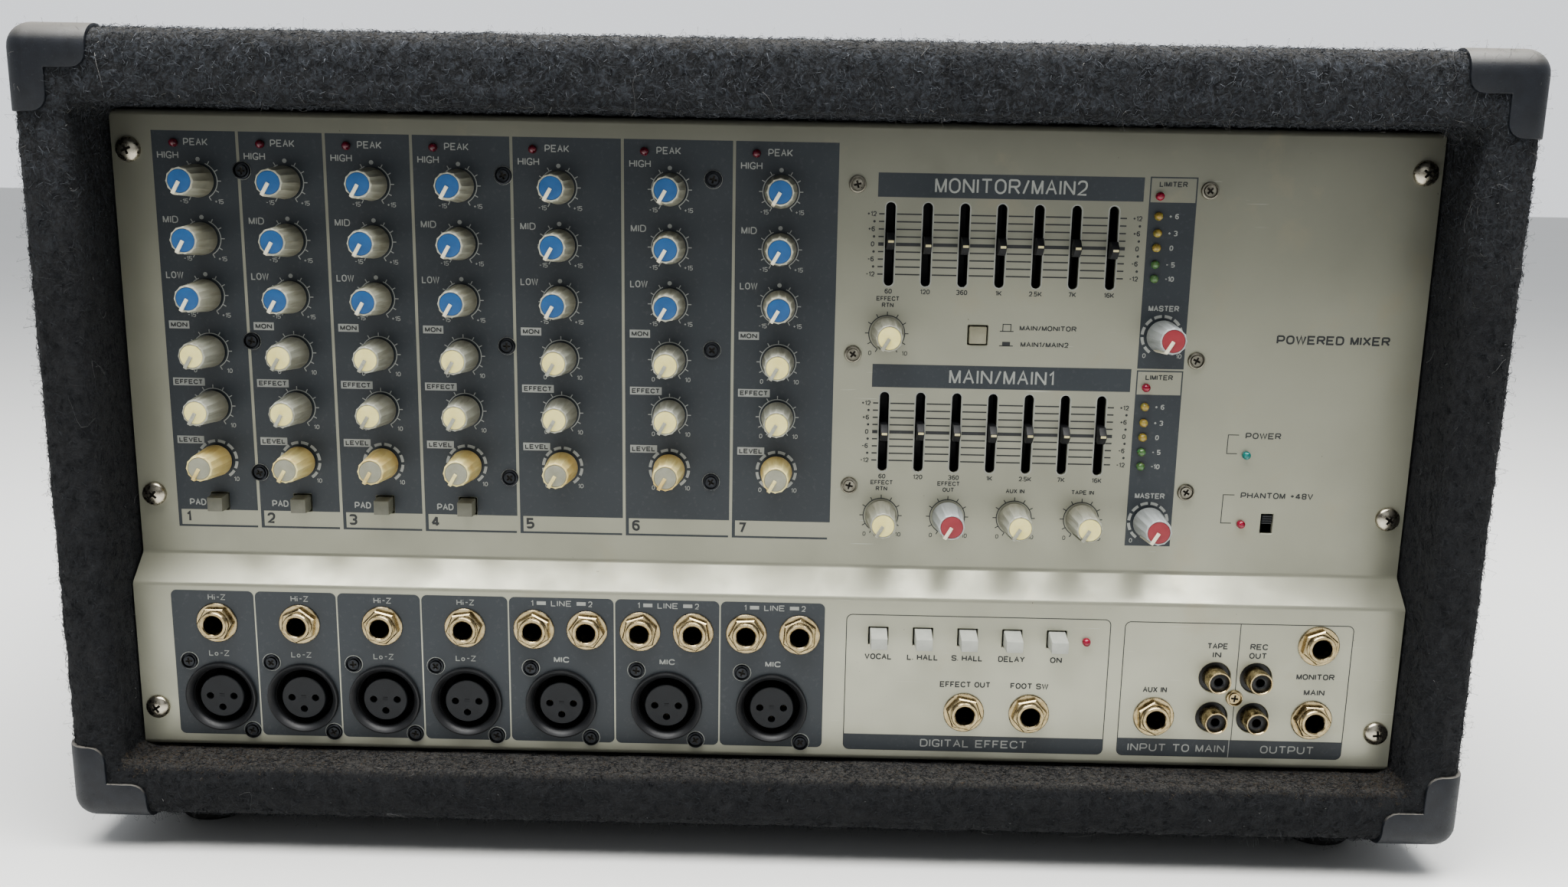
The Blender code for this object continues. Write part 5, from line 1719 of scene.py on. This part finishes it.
def make_rear_panel():
    sink = centre("amplifier_heatsink")
    inlet = centre("mains_inlet")

    def add_holes(bm):
        add_window(bm, inlet.x, inlet.z, 55.4, 29.4, REAR_FACE, 1, -1)
        add_window(bm, sink.x, sink.z, 202, 104, REAR_FACE, 2, -1)
        for x in SPEAKER_JACKS:
            add_round_hole(bm, x, SPEAKER_ROW, JACK_HOLE, REAR_FACE, 32, -1)
        for i in range(16):
            for z in (66, 229):
                add_window(bm, sink.x + (i - 7.5) * 11, z, 3.2, 26, REAR_FACE, 1.55, -1)

    plate = mesh_from("plate", [lambda bm: add_box(bm, REAR_LOW, REAR_HIGH, 0.4)])
    mesh = cut(plate, add_holes, "rear_panel_plate", angle=30, weighted=True)
    add_piece("rear_panel_plate", mesh, "rear_paint", "black_steel", stands_for=("rear_panel",))


def make_heatsink():
    low, high = box_of("amplifier_heatsink")
    base, tip = low.y + 6, high.y
    fins, thick, span = 13, 2.5, 196
    taper, soft = 0.35, 0.5
    first = (low.x + high.x) / 2 - span / 2
    pitch = (span - thick) / (fins - 1)
    outline = [(low.x, low.y), (high.x, low.y), (high.x, base)]
    for i in reversed(range(fins)):
        left = first + i * pitch
        right = left + thick
        outline += [(right + taper, base), (right - taper, tip - soft), (right - taper - soft, tip)]
        outline += [(left + taper + soft, tip), (left + taper, tip - soft), (left - taper, base)]
    outline.append((low.x, base))
    sections = [[(x, y, z) for x, y in outline] for z in (low.z, high.z)]
    mesh = mesh_from("finned_heatsink", [lambda bm: add_loft(bm, sections)], 30)
    stands_for = ("amplifier_heatsink",)
    add_piece("finned_heatsink", mesh, "aluminium", "heatsink_aluminium", stands_for=stands_for)


def make_inlet():
    """The power entry module: a three-pin inlet with two clipped corners, beside the switch's pocket."""
    low, high = box_of("mains_inlet")
    x, z = place_of("mains_inlet")
    mouth = high.y
    socket_x, rocker_x = x - 11, x + 16

    def add_flange(bm):
        rim = rounded_rect(x, z, 64, 38, 3.5)
        inner = rounded_rect(x, z, 62.6, 36.6, 3)
        add_loft(bm, [at_depth(inner, mouth), at_depth(rim, mouth - 0.7), at_depth(rim, mouth - 2.4)])

    def add_hollows(bm):
        w, h, clip = 12.5, 8.5, 4.5
        corners = [(-w, -h + clip), (-w + clip, -h), (w - clip, -h), (w, -h + clip), (w, h), (-w, h)]
        socket = rounded_path([(socket_x + dx, z + dz) for dx, dz in corners], 0.8, 3, closed=True)
        pocket = rounded_rect(rocker_x, z, 13.6, 23.4, 0.8)
        for outline, depth in ((socket, 16), (pocket, 12)):
            add_loft(bm, [at_depth(outline, mouth + 3), at_depth(outline, mouth - depth)])

    def add_pins(bm):
        for dx, dz in ((-7, -2), (7, -2), (0, 3)):
            add_block(bm, socket_x + dx, z + dz, 2, 4, mouth - 16.5, mouth - 2, 0.3)

    block = mesh_from("body", [lambda bm: add_block(bm, x, z, 54, 28, low.y, mouth - 1, 0.8)])
    body = cut(cut(block, add_flange, "inlet", "UNION", angle=30), add_hollows, "inlet", angle=30)
    mesh = mesh_from("power_inlet", [lambda bm: add_mesh(bm, body), add_pins], 30)
    add_piece("power_inlet", mesh, "black steel", "black_plastic", stands_for=("mains_inlet",))


def make_rocker():
    """The mains switch's rocker, with a hollow face and the line and circle for on and off."""
    half = Vector((6.4, 4.5, 10.3))
    steps = 12
    crown = [(half.y - 1.1 * (1 - t * t), t * half.z) for t in (2 * i / steps - 1 for i in range(steps + 1))]
    outline = [(-half.y, -half.z), *crown, (-half.y, half.z)]
    sections = [[(x, y, z) for y, z in outline] for x in (-half.x, half.x)]
    depth = half.y - 0.55

    def add_marks(bm):
        add_block(bm, 0, 6.1, 0.6, 3, depth - 0.4, depth + 0.12, 0.05)
        ring = [(1.2, -0.4), (1.8, -0.4), (1.8, 0.3), (1.2, 0.3), (1.2, -0.4)]
        add_turned(bm, ring, 32, moved(0, depth - 0.1, -6) @ FACING_REAR)

    mesh = mesh_from("rocker_cap", [lambda bm: add_loft(bm, sections), add_marks], 30)
    at = moved(*centre("power_rocker")) @ Matrix.Rotation(math.radians(-8), 4, "X")
    add_piece("rocker_cap", mesh, "black white", "black_plastic", "power_rocker", at, ("power_rocker",))


def finish_cad_nodes():
    """The pieces inside the cabinet keep their CAD shapes and get real finishes."""
    for name, finish in (("supply_board", "mask"), ("power_transformer", "tape"), ("chassis_tray", "steel")):
        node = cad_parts[name]
        if not node.material_slots:
            node.data.materials.append(FINISHES[finish])
        for slot in node.material_slots:
            slot.material = FINISHES[finish]


# ---- camera, light and floor ----


def make_stage():
    made, tree, shader = new_material("floor_white", 0.55)
    cloud = grain(tree, millimetres(tree), 0.004, 3)
    painted(tree, shader, blend(tree, cloud, (0.72, 0.72, 0.7), (0.76, 0.76, 0.75)))
    low, high = (-12000, -12000, -20), (12000, 12000, 0)
    floor = loose("floor", mesh_from("floor", [lambda bm: add_box(bm, low, high)]))
    floor.data.materials.append(made)


def add_light(name, place, target, size, power, colour):
    """An area light, with its places and size in metres."""
    light = bpy.data.lights.new(name, "AREA")
    light.shape = "RECTANGLE"
    light.size, light.size_y = size
    light.energy = power
    light.color = colour
    obj = loose(name, light)
    obj.location = place
    obj.rotation_euler = (Vector(target) - Vector(place)).to_track_quat("-Z", "Y").to_euler()


def make_lights():
    """A soft box overhead, in a pale room whose brightest wall is behind the object."""
    add_light("overhead", (0.05, -0.31, 1.35), (0, -0.1, 0.1), (1.7, 0.7), 50, (1, 0.995, 0.975))
    add_light("front_fill", (0.2, -1.7, 0.9), (0, 0, 0.12), (1.2, 0.8), 1.5, (0.94, 0.97, 1))
    world = bpy.data.worlds.new("studio")
    bpy.context.scene.world = world
    world.use_nodes = True
    tree = world.node_tree
    direction = add_node(tree, "TexCoord").outputs["Generated"]
    depth = add_node(tree, "SeparateXYZ", {0: direction}).outputs[1]
    strength = remap(tree, depth, -0.5, 0.7, 0.22, 0.95)
    background = tree.nodes["Background"]
    background.inputs["Color"].default_value = (0.94, 0.965, 1, 1)
    tree.links.new(strength, background.inputs["Strength"])
    bpy.context.scene.view_settings.look = "AgX - Medium High Contrast"


def make_camera():
    """The photo's camera, solved from the object's edges."""
    camera = bpy.data.cameras.new("camera")
    camera.lens = 30.39
    camera.sensor_width = 36
    camera.clip_start = 0.01
    obj = loose("camera", camera)
    turn = Matrix.Rotation(math.radians(0.4676), 4, "Z") @ Matrix.Rotation(math.radians(78.61), 4, "X")
    turn = turn @ Matrix.Rotation(math.radians(1.0885), 4, "Z")
    obj.matrix_world = moved(8.64, -558.5, 237.2) @ turn
    bpy.context.scene.camera = obj


def main():
    FINISHES.update(make_finishes())
    carpet = make_cabinet()
    make_fuzz(carpet)
    make_guards()
    make_feet()
    make_battens()
    make_front_panel()
    make_printing()
    make_knobs()
    make_faders()
    make_buttons()
    make_phantom_switch()
    make_lamps()
    make_screws()
    make_sockets()
    make_boards()
    make_equalizer_board()
    make_amplifier_board()
    make_rear_panel()
    make_heatsink()
    make_inlet()
    make_rocker()
    finish_cad_nodes()
    make_stage()
    make_lights()
    make_camera()


main()
